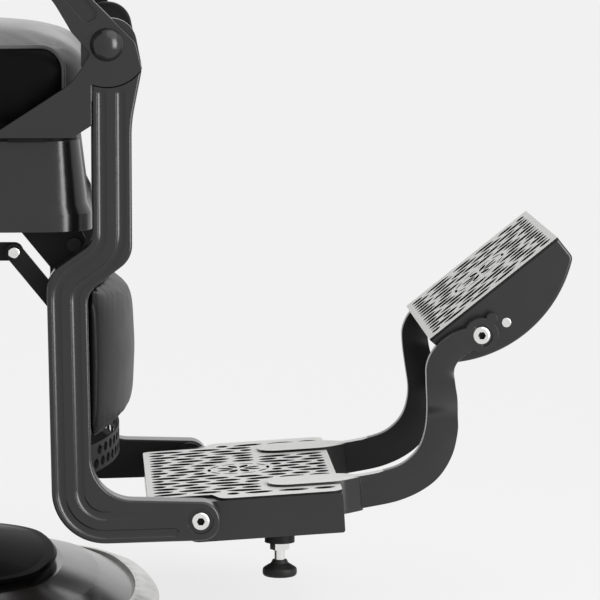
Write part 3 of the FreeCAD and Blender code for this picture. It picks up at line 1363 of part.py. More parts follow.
def headrest_socket():
    rear = BACK_ARM_X - BACK_ARM_W
    body = block(rear, BACK_ARM_X, -SOCKET_HALF, SOCKET_HALF, SOCKET_LOW, BACK_HIGH - 14)
    return body.cut(post_bar(FIT, SOCKET_LOW - 1, BACK_HIGH))


def post_bar(grow, low, high):
    middle = BACK_ARM_X - BACK_ARM_W / 2
    deep = POST_T / 2 + grow
    half = POST_W / 2 + grow
    return block(middle - deep, middle + deep, -half, half, low, high)


def headrest_post():
    plate_x = BACK_ARM_X - BACK_ARM_W / 2 + POST_T / 2
    plate_low = HEADREST_LOW + HEADREST_H * 0.2
    half = HEADREST_HALF * 0.6
    plate = block(plate_x, plate_x + POST_T / 2, -half, half, plate_low, POST_TOP)
    return post_bar(0, POST_LOW, POST_TOP).fuse(plate).removeSplitter()


right_back_arm = back_arm()
keep("back_arm_right", right_back_arm)
keep("back_arm_left", mirrored(right_back_arm))
panel_front = BACK_ARM_X + BACK_PANEL_T
panel_half = BACK_HALF - BACK_PANEL_IN
panel_top = BACK_HIGH - COVER_DOWN
panel = block(BACK_ARM_X, panel_front, -panel_half, panel_half, BACK_LOW + COVER_WALL, panel_top)
keep("back_panel", on_back(panel))
keep("back_cover", on_back(back_cover()))
back_height = BACK_HIGH - BACK_LOW
cushion = upright_pad(
    BACK_LOW, back_height, BACK_HALF, BACK_CUSHION_T, BACK_CORNER_R, CUSHION_CROWN, panel_front
)
keep("back_cushion", on_back(cushion))
keep("headrest_socket", on_back(headrest_socket()))
keep("headrest_post", on_back(headrest_post()))
headrest_rear = BACK_ARM_X - BACK_ARM_W / 2 + POST_T
head_pad = upright_pad(
    HEADREST_LOW, HEADREST_H, HEADREST_HALF, HEADREST_T, HEADREST_CORNER_R, HEADREST_CROWN, headrest_rear
)
keep("headrest_cushion", on_back(head_pad))


# Hand levers: recline on the right, lift on the left

def lever():
    inner = -LEVER_FACE
    end = (LEVER_X - LEVER_LENGTH, LEVER_Z - LEVER_DROP)
    arm = slab(strip((LEVER_X, LEVER_Z), end, LEVER_W), inner - LEVER_T, inner)
    hub = rod_y(LEVER_X, LEVER_Z, LEVER_HUB_R, inner - LEVER_T, inner)
    pin = rod_y(LEVER_X, LEVER_Z, LEVER_PIN_D / 2, inner, inner + 3 * BOX_WALL)
    stub = rod_y(end[0], end[1], GRIP_R / 2, inner - LEVER_T - GRIP_L * 0.8, inner - LEVER_T)
    return arm.fuse([hub, pin, stub]).removeSplitter()


def lever_grip():
    face = -LEVER_FACE - LEVER_T
    x = LEVER_X - LEVER_LENGTH
    z = LEVER_Z - LEVER_DROP
    grip = rod_y(x, z, GRIP_R, face - GRIP_L, face)
    grip = round_face(grip, face - GRIP_L, GRIP_R * 0.6)
    return grip.cut(rod_y(x, z, GRIP_R / 2, face - GRIP_L * 0.8, face + 1))


right_lever = lever()
right_grip = lever_grip()
keep("recline_lever", right_lever)
keep("recline_grip", right_grip)
keep("lift_lever", mirrored(right_lever))
keep("lift_grip", mirrored(right_grip))

os.makedirs("parts", exist_ok=True)
for name, shape in PIECES.items():
    shape.exportStep("parts/" + name + ".step")
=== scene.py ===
import json
import math
import random
import bmesh
import bpy
from mathutils import Matrix, Vector, geometry, kdtree


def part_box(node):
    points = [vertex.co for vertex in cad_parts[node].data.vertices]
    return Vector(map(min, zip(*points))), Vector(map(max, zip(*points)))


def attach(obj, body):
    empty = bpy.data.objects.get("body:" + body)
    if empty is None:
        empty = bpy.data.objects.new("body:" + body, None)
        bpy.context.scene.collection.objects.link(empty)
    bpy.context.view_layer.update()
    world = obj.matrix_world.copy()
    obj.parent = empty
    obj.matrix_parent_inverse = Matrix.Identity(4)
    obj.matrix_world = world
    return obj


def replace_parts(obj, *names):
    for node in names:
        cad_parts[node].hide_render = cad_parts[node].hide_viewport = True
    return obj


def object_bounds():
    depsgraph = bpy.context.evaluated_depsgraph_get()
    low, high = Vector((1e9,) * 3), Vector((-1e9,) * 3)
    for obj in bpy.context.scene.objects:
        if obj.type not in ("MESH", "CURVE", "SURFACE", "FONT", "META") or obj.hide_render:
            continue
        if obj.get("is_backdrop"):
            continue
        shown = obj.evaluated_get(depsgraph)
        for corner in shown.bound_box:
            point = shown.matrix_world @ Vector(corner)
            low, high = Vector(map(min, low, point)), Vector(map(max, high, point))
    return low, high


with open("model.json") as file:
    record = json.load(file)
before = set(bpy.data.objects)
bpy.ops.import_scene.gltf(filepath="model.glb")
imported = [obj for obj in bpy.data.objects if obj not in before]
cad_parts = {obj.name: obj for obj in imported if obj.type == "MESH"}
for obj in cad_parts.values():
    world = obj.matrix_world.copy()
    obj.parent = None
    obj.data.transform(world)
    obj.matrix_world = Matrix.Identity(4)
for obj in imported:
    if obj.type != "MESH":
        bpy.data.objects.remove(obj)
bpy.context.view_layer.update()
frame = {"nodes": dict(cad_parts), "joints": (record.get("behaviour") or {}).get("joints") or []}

# Base: a cast dome in satin grey enamel with a dished collar in black, standing in
# a bright rim of stainless strip. The enamel lies in a thin film over the casting and
# the rim is polished along its length.

DOME_GREY = "#1e1c1b"
DOME_REFLECTION = 0.5
COLLAR_BLACK = "#070707"
COLLAR_REFLECTION = 0.001
ENAMEL_DUST_MM = 45
ENAMEL_WAVE_MM = 6
RIM_STEEL = "#d6d5d1"
RIM_DULL = "#a5a4a0"
RIM_STREAK_MM = 24


def linear(hex_colour):
    """An sRGB hex colour as linear red, green, blue and alpha."""
    channels = [int(hex_colour[i:i + 2], 16) / 255 for i in (1, 3, 5)]
    return [c / 12.92 if c <= 0.04045 else ((c + 0.055) / 1.055) ** 2.4 for c in channels] + [1.0]


def add(tree, kind, inputs, **settings):
    """One shader node with its settings; an input is another node's socket or a value."""
    made = tree.nodes.new(kind)
    for name, value in settings.items():
        setattr(made, name, value)
    for name, value in inputs.items():
        if isinstance(value, bpy.types.NodeSocket):
            tree.links.new(value, made.inputs[name])
        else:
            made.inputs[name].default_value = value
    return made


def new_material(name):
    """An empty material with its shader and the place of each point on the piece."""
    material = bpy.data.materials.new(name)
    material.use_nodes = True
    tree = material.node_tree
    tree.nodes.clear()
    shader = add(tree, "ShaderNodeBsdfPrincipled", {})
    add(tree, "ShaderNodeOutputMaterial", {"Surface": shader.outputs["BSDF"]})
    place = add(tree, "ShaderNodeTexCoord", {}).outputs["Object"]
    return material, tree, shader, place


def per_mm(size):
    """Texture scale that gives one feature in so many millimetres."""
    return 1000 / size


def finish_nodes(material, *names):
    """Give CAD nodes their finish."""
    for name in names:
        for slot in frame["nodes"][name].material_slots:
            slot.material = material


def stove_enamel(name, colour, reflection):
    """Stove enamel: a hard satin film, very slightly wavy, with a little dust in its sheen."""
    material, tree, shader, place = new_material(name)
    shader.inputs["Base Color"].default_value = linear(colour)
    shader.inputs["Specular IOR Level"].default_value = reflection
    dust = add(tree, "ShaderNodeTexNoise", {"Vector": place, "Scale": per_mm(ENAMEL_DUST_MM), "Detail": 5.0})
    satin = add(tree, "ShaderNodeMapRange", {"Value": dust.outputs["Fac"], "To Min": 0.12, "To Max": 0.22})
    tree.links.new(satin.outputs["Result"], shader.inputs["Roughness"])
    wave = add(tree, "ShaderNodeTexNoise", {"Vector": place, "Scale": per_mm(ENAMEL_WAVE_MM)})
    peel = add(
        tree, "ShaderNodeBump", {"Height": wave.outputs["Fac"], "Strength": 0.12, "Distance": 0.0002}
    )
    tree.links.new(peel.outputs["Normal"], shader.inputs["Normal"])
    return material


finish_nodes(stove_enamel("stove_enamel_satin_grey", DOME_GREY, DOME_REFLECTION), "base_plate")
finish_nodes(stove_enamel("stove_enamel_satin_black", COLLAR_BLACK, COLLAR_REFLECTION), "base_collar")

# Stainless strip: polished lengthwise, so its reflections break into soft streaks.
stainless, tree, shader, place = new_material("stainless_strip_polished")
shader.inputs["Metallic"].default_value = 1.0
streak = add(tree, "ShaderNodeTexNoise", {"Vector": place, "Scale": per_mm(RIM_STREAK_MM), "Detail": 6.0})
tone = add(
    tree, "ShaderNodeMix",
    {"Factor": streak.outputs["Fac"], "A": linear(RIM_DULL), "B": linear(RIM_STEEL)}, data_type="RGBA",
)
tree.links.new(tone.outputs["Result"], shader.inputs["Base Color"])
polish = add(tree, "ShaderNodeMapRange", {"Value": streak.outputs["Fac"], "To Min": 0.32, "To Max": 0.14})
tree.links.new(polish.outputs["Result"], shader.inputs["Roughness"])
finish_nodes(stainless, "rim_ring")

# Pump: a plain steel floor plate and turned cylinder, a chromed gland, ram and
# bearing. The ram slides in the gland and the chair turns on the bearing.

ZINC_DULL = "#6d6d6b"
ZINC_GREY = "#929290"
TOOL_MARK_MM = 20
TURNED_BAND_MM = 12
CHROME = "#d9dadb"
OIL_TRACE_MM = 30

# Zinc-plated steel: turned, then plated to a dull grey with faint level tool marks.
zinc_plate, tree, shader, place = new_material("zinc_plated_steel_turned")
shader.inputs["Metallic"].default_value = 1.0
marks = add(tree, "ShaderNodeTexNoise", {"Vector": place, "Scale": per_mm(TOOL_MARK_MM), "Detail": 4.0})
tone = add(
    tree, "ShaderNodeMix",
    {"Factor": marks.outputs["Fac"], "A": linear(ZINC_DULL), "B": linear(ZINC_GREY)}, data_type="RGBA",
)
tree.links.new(tone.outputs["Result"], shader.inputs["Base Color"])
shader.inputs["Roughness"].default_value = 0.36
turned = add(
    tree, "ShaderNodeTexWave", {"Vector": place, "Scale": per_mm(TURNED_BAND_MM), "Distortion": 0.4},
    bands_direction="Z",
)
cut = add(
    tree, "ShaderNodeBump", {"Height": turned.outputs["Fac"], "Strength": 0.1, "Distance": 0.0001}
)
tree.links.new(cut.outputs["Normal"], shader.inputs["Normal"])
finish_nodes(zinc_plate, "floor_plate", "pump_cylinder")

# Hard chrome: ground and plated, nearly a mirror, with a trace of wiped oil.
chrome, tree, shader, place = new_material("hard_chrome_ground")
shader.inputs["Metallic"].default_value = 1.0
shader.inputs["Base Color"].default_value = linear(CHROME)
oil = add(tree, "ShaderNodeTexNoise", {"Vector": place, "Scale": per_mm(OIL_TRACE_MM), "Detail": 4.0})
wiped = add(tree, "ShaderNodeMapRange", {"Value": oil.outputs["Fac"], "To Min": 0.06, "To Max": 0.18})
tree.links.new(wiped.outputs["Result"], shader.inputs["Roughness"])
finish_nodes(chrome, "cylinder_gland", "ram", "swivel_bearing", "headrest_post")

# Chair frame: the swivel hub, pressed apron box and arm stays, and the arm castings with
# a slightly coarser skin, all powder coated in satin charcoal black. The brackets stay in
# black primer and the stops are rubber. The seat pan and the castings' inner faces are
# painted in the same dark finish as painted shade.

COAT = "#161617"
COAT_LIGHT = "#1d1d1e"
COAT_CLOUD_MM = 70
COAT_RUB_MM = 25
COAT_GRAIN_MM = 1.6
CAST_GRAIN_MM = 2.6
EDGE_MM = 1.2
INWARDS = -0.5
PRIMER_AND_SHADE_BLACK = "#0a0a0a"
PRIMER_AND_SHADE_THIN = "#161616"
PRIMER_DRAIN_MM = 35
RUBBER_BLACK = "#0d0d0d"
RUBBER_BLOOM = "#191918"
RUBBER_BLOOM_MM = 18
RUBBER_SKIN_MM = 2


def powder_coat(name, grain_mm, strength):
    """Satin powder coat: an even charcoal film with a fine pebbled skin, full at the edges."""
    material, tree, shader, place = new_material(name)
    shader.inputs["Specular IOR Level"].default_value = 0.5
    cloud = add(tree, "ShaderNodeTexNoise", {"Vector": place, "Scale": per_mm(COAT_CLOUD_MM), "Detail": 3.0})
    tone = add(
        tree, "ShaderNodeMix",
        {"Factor": cloud.outputs["Fac"], "A": linear(COAT), "B": linear(COAT_LIGHT)}, data_type="RGBA",
    )
    tree.links.new(tone.outputs["Result"], shader.inputs["Base Color"])
    rubbed = add(tree, "ShaderNodeTexNoise", {"Vector": place, "Scale": per_mm(COAT_RUB_MM), "Detail": 4.0})
    satin = add(
        tree, "ShaderNodeMapRange", {"Value": rubbed.outputs["Fac"], "To Min": 0.17, "To Max": 0.27}
    )
    tree.links.new(satin.outputs["Result"], shader.inputs["Roughness"])
    grain = add(tree, "ShaderNodeTexNoise", {"Vector": place, "Scale": per_mm(grain_mm), "Detail": 2.0})
    rounded = add(tree, "ShaderNodeBevel", {"Radius": EDGE_MM / 1000}, samples=4)
    skin = add(
        tree, "ShaderNodeBump",
        {"Height": grain.outputs["Fac"], "Strength": strength, "Distance": 0.0003,
         "Normal": rounded.outputs["Normal"]},
    )
    tree.links.new(skin.outputs["Normal"], shader.inputs["Normal"])
    return material


def finish_faces(material, chosen, *names):
    """Give a second finish to the faces of CAD nodes that a test picks out."""
    for name in names:
        mesh = frame["nodes"][name].data
        mesh.materials.append(material)
        for polygon in mesh.polygons:
            if chosen(polygon):
                polygon.material_index = len(mesh.materials) - 1


def faces_inwards(polygon):
    """Whether a face looks towards the chair's middle plane."""
    return polygon.normal.y * math.copysign(1, polygon.center.y) < INWARDS


# The grains are drawn a little coarser than the real 0.5 to 1 mm so that they show.
coated_steel = powder_coat("powder_coated_steel_charcoal", COAT_GRAIN_MM, 0.14)
coated_casting = powder_coat("powder_coated_casting_charcoal", CAST_GRAIN_MM, 0.20)
finish_nodes(coated_steel, "swivel_hub", "seat_box", "arm_stays")
finish_nodes(coated_casting, "arm_frame_right", "arm_frame_left", "knee_caps")

# Black primer: a thin dipped coat, nearly matt, blotched where it drained. The same dark
# finish is painted shade on the seat pan, the castings' inner faces, the key holes of the
# screws and the walls of the grating's cuts.
primer_and_painted_shade, tree, shader, place = new_material("dipped_primer_black_and_painted_shade")
shader.inputs["Specular IOR Level"].default_value = 0.16
drained = add(tree, "ShaderNodeTexNoise", {"Vector": place, "Scale": per_mm(PRIMER_DRAIN_MM), "Detail": 4.0})
tone = add(
    tree, "ShaderNodeMix",
    {"Factor": drained.outputs["Fac"], "A": linear(PRIMER_AND_SHADE_BLACK), "B": linear(PRIMER_AND_SHADE_THIN)},
    data_type="RGBA",
)
tree.links.new(tone.outputs["Result"], shader.inputs["Base Color"])
dull = add(tree, "ShaderNodeMapRange", {"Value": drained.outputs["Fac"], "To Min": 0.42, "To Max": 0.56})
tree.links.new(dull.outputs["Result"], shader.inputs["Roughness"])
# Painted shade: the seat pan is painted dark under the arm webs, and the arm castings' inward faces are
# painted dark.
finish_nodes(primer_and_painted_shade, "seat_pan", "stop_brackets", "hinge_brackets", "knee_pins")
finish_faces(primer_and_painted_shade, faces_inwards, "arm_frame_right", "arm_frame_left")

# Moulded rubber: matt, with a bloom that greys it unevenly.
rubber, tree, shader, place = new_material("moulded_rubber_black")
bloom = add(tree, "ShaderNodeTexNoise", {"Vector": place, "Scale": per_mm(RUBBER_BLOOM_MM), "Detail": 5.0})
tone = add(
    tree, "ShaderNodeMix",
    {"Factor": bloom.outputs["Fac"], "A": linear(RUBBER_BLACK), "B": linear(RUBBER_BLOOM)},
    data_type="RGBA",
)
tree.links.new(tone.outputs["Result"], shader.inputs["Base Color"])
shader.inputs["Roughness"].default_value = 0.5
shader.inputs["Specular IOR Level"].default_value = 0.25
moulded = add(tree, "ShaderNodeTexNoise", {"Vector": place, "Scale": per_mm(RUBBER_SKIN_MM), "Detail": 2.0})
skin = add(
    tree, "ShaderNodeBump", {"Height": moulded.outputs["Fac"], "Strength": 0.2, "Distance": 0.0003}
)
tree.links.new(skin.outputs["Normal"], shader.inputs["Normal"])
finish_nodes(rubber, "stop_bumpers", "level_glide_right", "level_glide_left", "recline_grip", "lift_grip")

# Seat cushion: moulded foam on a board under vinyl. One charcoal sheet runs over the
# top and down the front, a panel closes each side, and a piped seam joins them round
# the panel. The side panels are painted near black as painted shade, and the charcoal
# is lifted a little as painted light on the top.

VINYL = "#4e4e4f"
VINYL_LIGHT = "#5c5c5d"
PANEL_SHADE_AND_PAD_BLACK = "#080809"
PANEL_SHADE_AND_PAD_LIGHT = "#101011"
VINYL_CLOUD_MM = 40
GRAIN_MM = 2.2
VOXEL = 0.006
BLOW_FRAMES = 20
PIPING_R = 0.0024
PIPING_RAISED = 0.4
SEAM_STEP = 0.004
SEAM_HOLD = 0.006
SEAM_REAR = -0.150
SEAM_FRONT = 0.237
SEAM_FOOT = 0.572
SEAM_TOP = 0.661
SEAM_R = 0.026
SEAT_DRAWN_IN = 0.003
SEAT_SWELL = 0.006
PANEL_FACES_OUT = 0.3


def upholstery_vinyl(name, dark, light, reflection, bloom):
    """Vinyl embossed with a leather grain of small raised cells, twice as coarse as the real 1 mm."""
    material, tree, shader, place = new_material(name)
    shader.inputs["Specular IOR Level"].default_value = reflection
    shader.inputs["Sheen Weight"].default_value = bloom
    shader.inputs["Sheen Roughness"].default_value = 0.35
    cloud = add(tree, "ShaderNodeTexNoise", {"Vector": place, "Scale": per_mm(VINYL_CLOUD_MM), "Detail": 4.0})
    tone = add(
        tree, "ShaderNodeMix",
        {"Factor": cloud.outputs["Fac"], "A": linear(dark), "B": linear(light)}, data_type="RGBA",
    )
    tree.links.new(tone.outputs["Result"], shader.inputs["Base Color"])
    handled = add(
        tree, "ShaderNodeMapRange", {"Value": cloud.outputs["Fac"], "To Min": 0.32, "To Max": 0.44}
    )
    tree.links.new(handled.outputs["Result"], shader.inputs["Roughness"])
    cells = add(
        tree, "ShaderNodeTexVoronoi", {"Vector": place, "Scale": per_mm(GRAIN_MM)},
        feature="DISTANCE_TO_EDGE",
    )
    raised = add(tree, "ShaderNodeMapRange", {"Value": cells.outputs["Distance"], "From Max": 0.18})
    emboss = add(
        tree, "ShaderNodeBump", {"Height": raised.outputs["Result"], "Strength": 0.16, "Distance": 0.0003}
    )
    tree.links.new(emboss.outputs["Normal"], shader.inputs["Normal"])
    return material


# The charcoal has a pale bloom at a low angle, and its tone is lifted in part as painted light
# on the tops; the black panels and pads are smoother, and the side panels' near black is painted shade.
vinyl = upholstery_vinyl("upholstery_vinyl_charcoal", VINYL, VINYL_LIGHT, 0.4, 0.55)
painted_shade_panel_vinyl = upholstery_vinyl("upholstery_vinyl_black_painted_shade", PANEL_SHADE_AND_PAD_BLACK, PANEL_SHADE_AND_PAD_LIGHT, 0.04, 0.0)
pad_vinyl = upholstery_vinyl("upholstery_vinyl_black", PANEL_SHADE_AND_PAD_BLACK, PANEL_SHADE_AND_PAD_LIGHT, 0.14, 0.0)


def placed(name, data):
    """A new object in the scene."""
    made = bpy.data.objects.new(name, data)
    bpy.context.scene.collection.objects.link(made)
    return made


def as_piece(bm, name):
    """A new object from a finished bmesh."""
    mesh = bpy.data.meshes.new(name)
    bm.to_mesh(mesh)
    bm.free()
    return placed(name, mesh)


def evaluated_mesh(piece):
    """The piece's mesh with its modifiers applied."""
    bpy.context.view_layer.update()
    return bpy.data.meshes.new_from_object(piece.evaluated_get(bpy.context.evaluated_depsgraph_get()))


def foam_blank(node, name, drawn_in):
    """A closed, evenly meshed copy of a soft CAD solid, a little smaller all round."""
    bm = bmesh.new()
    bm.from_mesh(frame["nodes"][node].data)
    bmesh.ops.remove_doubles(bm, verts=bm.verts, dist=1e-5)
    low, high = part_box(node)
    shrink = [1 - 2 * drawn_in / side for side in high - low]
    middle = Matrix.Translation(-(low + high) / 2)
    bmesh.ops.scale(bm, vec=shrink, space=middle, verts=bm.verts)
    blank = as_piece(bm, name)
    remesh = blank.modifiers.new("even", "REMESH")
    remesh.mode = "VOXEL"
    remesh.voxel_size = VOXEL
    blank.data = evaluated_mesh(blank)
    blank.modifiers.clear()
    return blank


def round_corner(u, v, radius, first, sweep, step):
    """Points about a corner's centre, from a first angle over a sweep, in degrees."""
    turns = range(0, sweep + step // abs(step), step)
    angles = [math.radians(first + turn) for turn in turns]
    return [(u + radius * math.cos(angle), v + radius * math.sin(angle)) for angle in angles]


def seam_line(blank, points, along=None):
    """Points on the blank's surface: the nearest ones to a route, or the first ones along a direction."""
    line = []
    for start, end in zip(points, points[1:]):
        start, end = Vector(start), Vector(end)
        steps = max(1, round((end - start).length / SEAM_STEP))
        line += [start.lerp(end, i / steps) for i in range(steps)]
    line.append(Vector(points[-1]))
    if along is None:
        return [blank.closest_point_on_mesh(point)[1] for point in line]
    return [blank.ray_cast(point, along)[1] for point in line]


def stuff(blank, seams, cap, pressure=4.0):
    """Blow the blank up like cloth over foam, held along its seams, and cap the swelling."""
    rest = [v.co.copy() for v in blank.data.vertices]
    held = blank.vertex_groups.new(name="seams")
    near = kdtree.KDTree(len(rest))
    for i, spot in enumerate(rest):
        near.insert(spot, i)
    near.balance()
    for seam in seams:
        for point in seam:
            held.add([i for _, i, _ in near.find_range(point, SEAM_HOLD)], 1.0, "REPLACE")
    cloth = blank.modifiers.new("cloth", "CLOTH")
    cloth.settings.use_pressure = True
    cloth.settings.uniform_pressure_force = pressure
    cloth.settings.vertex_group_mass = "seams"
    cloth.settings.effector_weights.gravity = 0
    cloth.point_cache.frame_end = BLOW_FRAMES
    for step in range(1, BLOW_FRAMES + 1):
        bpy.context.scene.frame_set(step)
    blown = evaluated_mesh(blank)
    blank.modifiers.clear()
    bpy.context.scene.frame_set(1)
    for v, start in zip(blown.vertices, rest):
        move = v.co - start
        if move.length > cap:
            v.co = start + move * (cap / move.length)
    blank.data = blown
    bm = bmesh.new()
    bm.from_mesh(blank.data)
    bmesh.ops.smooth_vert(
        bm, verts=bm.verts, factor=0.5, use_axis_x=True, use_axis_y=True, use_axis_z=True
    )
    for face in bm.faces:
        face.smooth = True
    bm.to_mesh(blank.data)
    bm.free()
    blank.vertex_groups.clear()
    finer = blank.modifiers.new("finer", "SUBSURF")
    finer.levels = 1
    finer.render_levels = 1
    blank.data = evaluated_mesh(blank)
    blank.modifiers.clear()
    blank.data.materials.clear()
    blank.data.materials.append(vinyl)


def piping(name, cushion, lines, body, closed=False):
    """Vinyl piping sewn into the seams, lying on the finished cushion."""
    curve = bpy.data.curves.new(name, "CURVE")
    curve.dimensions = "3D"
    curve.bevel_depth = PIPING_R
    curve.bevel_resolution = 3
    curve.use_fill_caps = True
    for line in lines:
        spline = curve.splines.new("POLY")
        spline.points.add(len(line) - 1)
        for point, spot in zip(spline.points, line):
            found = cushion.closest_point_on_mesh(spot)
            point.co = (*(found[1] + found[2] * PIPING_R * PIPING_RAISED), 1)
        spline.use_cyclic_u = closed
        spline.use_smooth = True
    route = placed(name, curve)
    mesh = evaluated_mesh(route)
    bpy.data.objects.remove(route)
    for polygon in mesh.polygons:
        polygon.use_smooth = True
    mesh.materials.clear()
    mesh.materials.append(vinyl)
    made = placed(name, mesh)
    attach(made, body)


def upholster(piece, node, body):
    """Put a finished cushion in the place of its CAD solid."""
    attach(piece, body)
    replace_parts(piece, node)


seat = foam_blank("seat_cushion", "seat_cushion_vinyl", SEAT_DRAWN_IN)
seat_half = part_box("seat_cushion")[1].y
side_seam = [(SEAM_REAR, SEAM_FOOT)]
for corner, first in ((SEAM_REAR + SEAM_R, 180), (SEAM_FRONT - SEAM_R, 90)):
    side_seam += round_corner(corner, SEAM_TOP - SEAM_R, SEAM_R, first, -90, -10)
side_seam.append((SEAM_FRONT, SEAM_FOOT))
seat_seams = [
    seam_line(seat, [(x, side * 2 * seat_half, z) for x, z in side_seam], along=(0, -side, 0))
    for side in (-1, 1)
]
stuff(seat, seat_seams, SEAT_SWELL)
# The side panels inside the seam take the near-black vinyl as painted shade.
seat.data.materials.append(painted_shade_panel_vinyl)
for polygon in seat.data.polygons:
    spot = polygon.center
    past_x = max(spot.x - SEAM_FRONT + SEAM_R, SEAM_REAR + SEAM_R - spot.x, 0)
    past_z = max(spot.z - SEAM_TOP + SEAM_R, 0)
    if abs(polygon.normal.y) > PANEL_FACES_OUT and math.hypot(past_x, past_z) < SEAM_R:
        polygon.material_index = 1
piping("seat_piping", seat, seat_seams, "chair")
upholster(seat, "seat_cushion", "chair")

# Arm pads: a slim foam pad on each rail, vinyl drawn round it and closed by a piped
# seam low on its side.

ARM_PAD_DRAWN_IN = 0.002
ARM_PAD_SWELL = 0.003
ARM_PAD_SEAM_Z = 0.30

for side in ("right", "left"):
    node = "arm_pad_" + side
    pad = foam_blank(node, node + "_vinyl", ARM_PAD_DRAWN_IN)
    low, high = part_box(node)
    level = low.z + ARM_PAD_SEAM_Z * (high.z - low.z)
    middle = (low + high) / 2
    end = (high.y - low.y) / 2
    route = []
    for centre, first in ((high.x - end, -90), (low.x + end, 90)):
        route += [(x, y, level) for x, y in round_corner(centre, middle.y, end, first, 180, 15)]
    route.append(route[0])
    line = seam_line(pad, route)[:-1]
    stuff(pad, [line], ARM_PAD_SWELL)
    piping(node + "_piping", pad, [line], "chair", closed=True)
    upholster(pad, node, "chair")

# Leg rest: two grooved castings hung from the knee pins, with link arms, push bars and
# a cross tube behind, a pressed calf panel, and bright cap screws at the hinges.

BRIGHT_ZINC = "#e2e2e0"
ZINC_PATCH_MM = 4
KEY_R = 0.0045
KEY_EDGE = 0.0006

finish_nodes(coated_casting, "leg_frame_right", "leg_frame_left")
# Painted shade: the leg castings' inward faces are painted dark.
finish_faces(primer_and_painted_shade, faces_inwards, "leg_frame_right", "leg_frame_left")
finish_nodes(
    primer_and_painted_shade, "link_arms", "leg_cross_tube", "calf_panel", "push_bar_right", "push_bar_left", "leg_skirt"
)

# Bright zinc: cold-headed screws, tumbled and plated, with small dull patches.
screws, tree, shader, place = new_material("bright_zinc_screws")
shader.inputs["Metallic"].default_value = 1.0
shader.inputs["Base Color"].default_value = linear(BRIGHT_ZINC)
patches = add(tree, "ShaderNodeTexNoise", {"Vector": place, "Scale": per_mm(ZINC_PATCH_MM), "Detail": 3.0})
dull = add(tree, "ShaderNodeMapRange", {"Value": patches.outputs["Fac"], "To Min": 0.1, "To Max": 0.24})
tree.links.new(dull.outputs["Result"], shader.inputs["Roughness"])
finish_nodes(
    screws, "link_bolts", "foot_hinge_bolts", "flip_pivot_bolts", "flip_pins", "level_stem_right",
    "level_stem_left"
)


def in_key_hole(name):
    """A test for the faces inside the hexagon holes of a pair of screws on one axis."""
    low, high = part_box(name)
    axis = (low + high) / 2

    def chosen(polygon):
        spot = polygon.center - axis
        return abs(spot.y) < high.y - KEY_EDGE and math.hypot(spot.x, spot.z) < KEY_R

    return chosen


# The hexagon holes for the key are painted nearly black: painted shade in the recesses.
for name in ("foot_hinge_bolts", "flip_pivot_bolts"):
    finish_faces(primer_and_painted_shade, in_key_hole(name), name)

# Calf pad: a bowed foam pad in black vinyl on the pressed panel, its edges drawn round
# to the back.

CALF_DRAWN_IN = 0.003
CALF_SWELL = 0.004

calf = foam_blank("calf_pad", "calf_pad_vinyl", CALF_DRAWN_IN)
stuff(calf, [], CALF_SWELL, pressure=3.0)
calf.data.materials[0] = pad_vinyl
upholster(calf, "calf_pad", "leg_rest")

# Footplate: a coated steel tray under a silver grating, which is laser cut with pointed
# slots round a rosette, and two levelling feet on bright stems below.

SILVER_AND_PAINTED_REFLECTION = "#e4e4e2"
FLAKE_MM = 1.2
SLOT_ROW = 0.0195
SLOT_W = 0.0145
SLOT_L = 0.031
SLOT_WEB = 0.005
SLOT_LEAN = 7
SLOT_SHORT = 0.7
SLOT_LONG = 1.3
SLOT_SIDES = 12
SLOT_POINT = 3
CUT_SEED = 32
RIM_W = 0.0065
DISC_R = 0.040
RING_R = 0.0345
RING_SLOTS = 10
RING_SLOT_W = 0.004
RING_WEB = 0.0025
PETALS = 8
PETAL_R = 0.017
PETAL_L = 0.021
PETAL_W = 0.0088
TOE_HINGE = (0.387, 0, 0.134)
TRAY_TILT = 3.4
TRAY_TOP = 0.0147
TRAY_REAR = -0.057
TRAY_FRONT = 0.163
TRAY_HALF = 0.2046
TRAY_STEP = 0.026
STEP_RUN = 0.010
REAR_HALF = 0.173
FOOT_REAR = 0.081
FOOT_INNER = 0.098
FOOT_OUTER = 0.157
GRATING_T = 0.0025
REAR_R = 0.008
STEP_INNER_R = 0.004
STEP_OUTER_R = 0.010
FRONT_R = 0.014
MOUTH_R = 0.002
FOOT_R = 0.026
CORNER_SIDES = 5
FACES_UP = 0.7

finish_nodes(coated_steel, "foot_tray")
finish_nodes(primer_and_painted_shade, "foot_sockets")

# Silver powder coat: fine metal flake in a clear film, pale and slightly sparkling. The same
# silver is a painted reflection on the upward faces of the flip-rest arms' feet.
silver_and_painted_reflection, tree, shader, place = new_material("silver_powder_coat_and_painted_reflection")
shader.inputs["Base Color"].default_value = linear(SILVER_AND_PAINTED_REFLECTION)
shader.inputs["Metallic"].default_value = 0.2
flake = add(tree, "ShaderNodeTexNoise", {"Vector": place, "Scale": per_mm(FLAKE_MM), "Detail": 2.0})
sparkle = add(
    tree, "ShaderNodeMapRange", {"Value": flake.outputs["Fac"], "To Min": 0.34, "To Max": 0.48}
)
tree.links.new(sparkle.outputs["Result"], shader.inputs["Roughness"])
skin = add(
    tree, "ShaderNodeBump", {"Height": flake.outputs["Fac"], "Strength": 0.08, "Distance": 0.0002}
)
tree.links.new(skin.outputs["Normal"], shader.inputs["Normal"])


def slot_row(row, y, spans):
    """Pointed slots end to end along a row, as x, y, length, width and lean; lengths vary a little."""
    slots = []
    for start, end in spans:
        count = max(1, round((end - start) / (SLOT_L + SLOT_WEB)))
        shares = [cut_sizes.uniform(SLOT_SHORT, SLOT_LONG) for _ in range(count + row % 2)]
        if row % 2:
            shares[0] *= 0.5
            shares[-1] *= 0.5
        room = end - start - SLOT_WEB * (len(shares) - 1)
        for share in shares:
            length = room * share / sum(shares)
            lean = math.radians(cut_sizes.uniform(-SLOT_LEAN, SLOT_LEAN))
            slots.append((start + length / 2, y, length, SLOT_W, lean))
            start += length + SLOT_WEB
    return slots


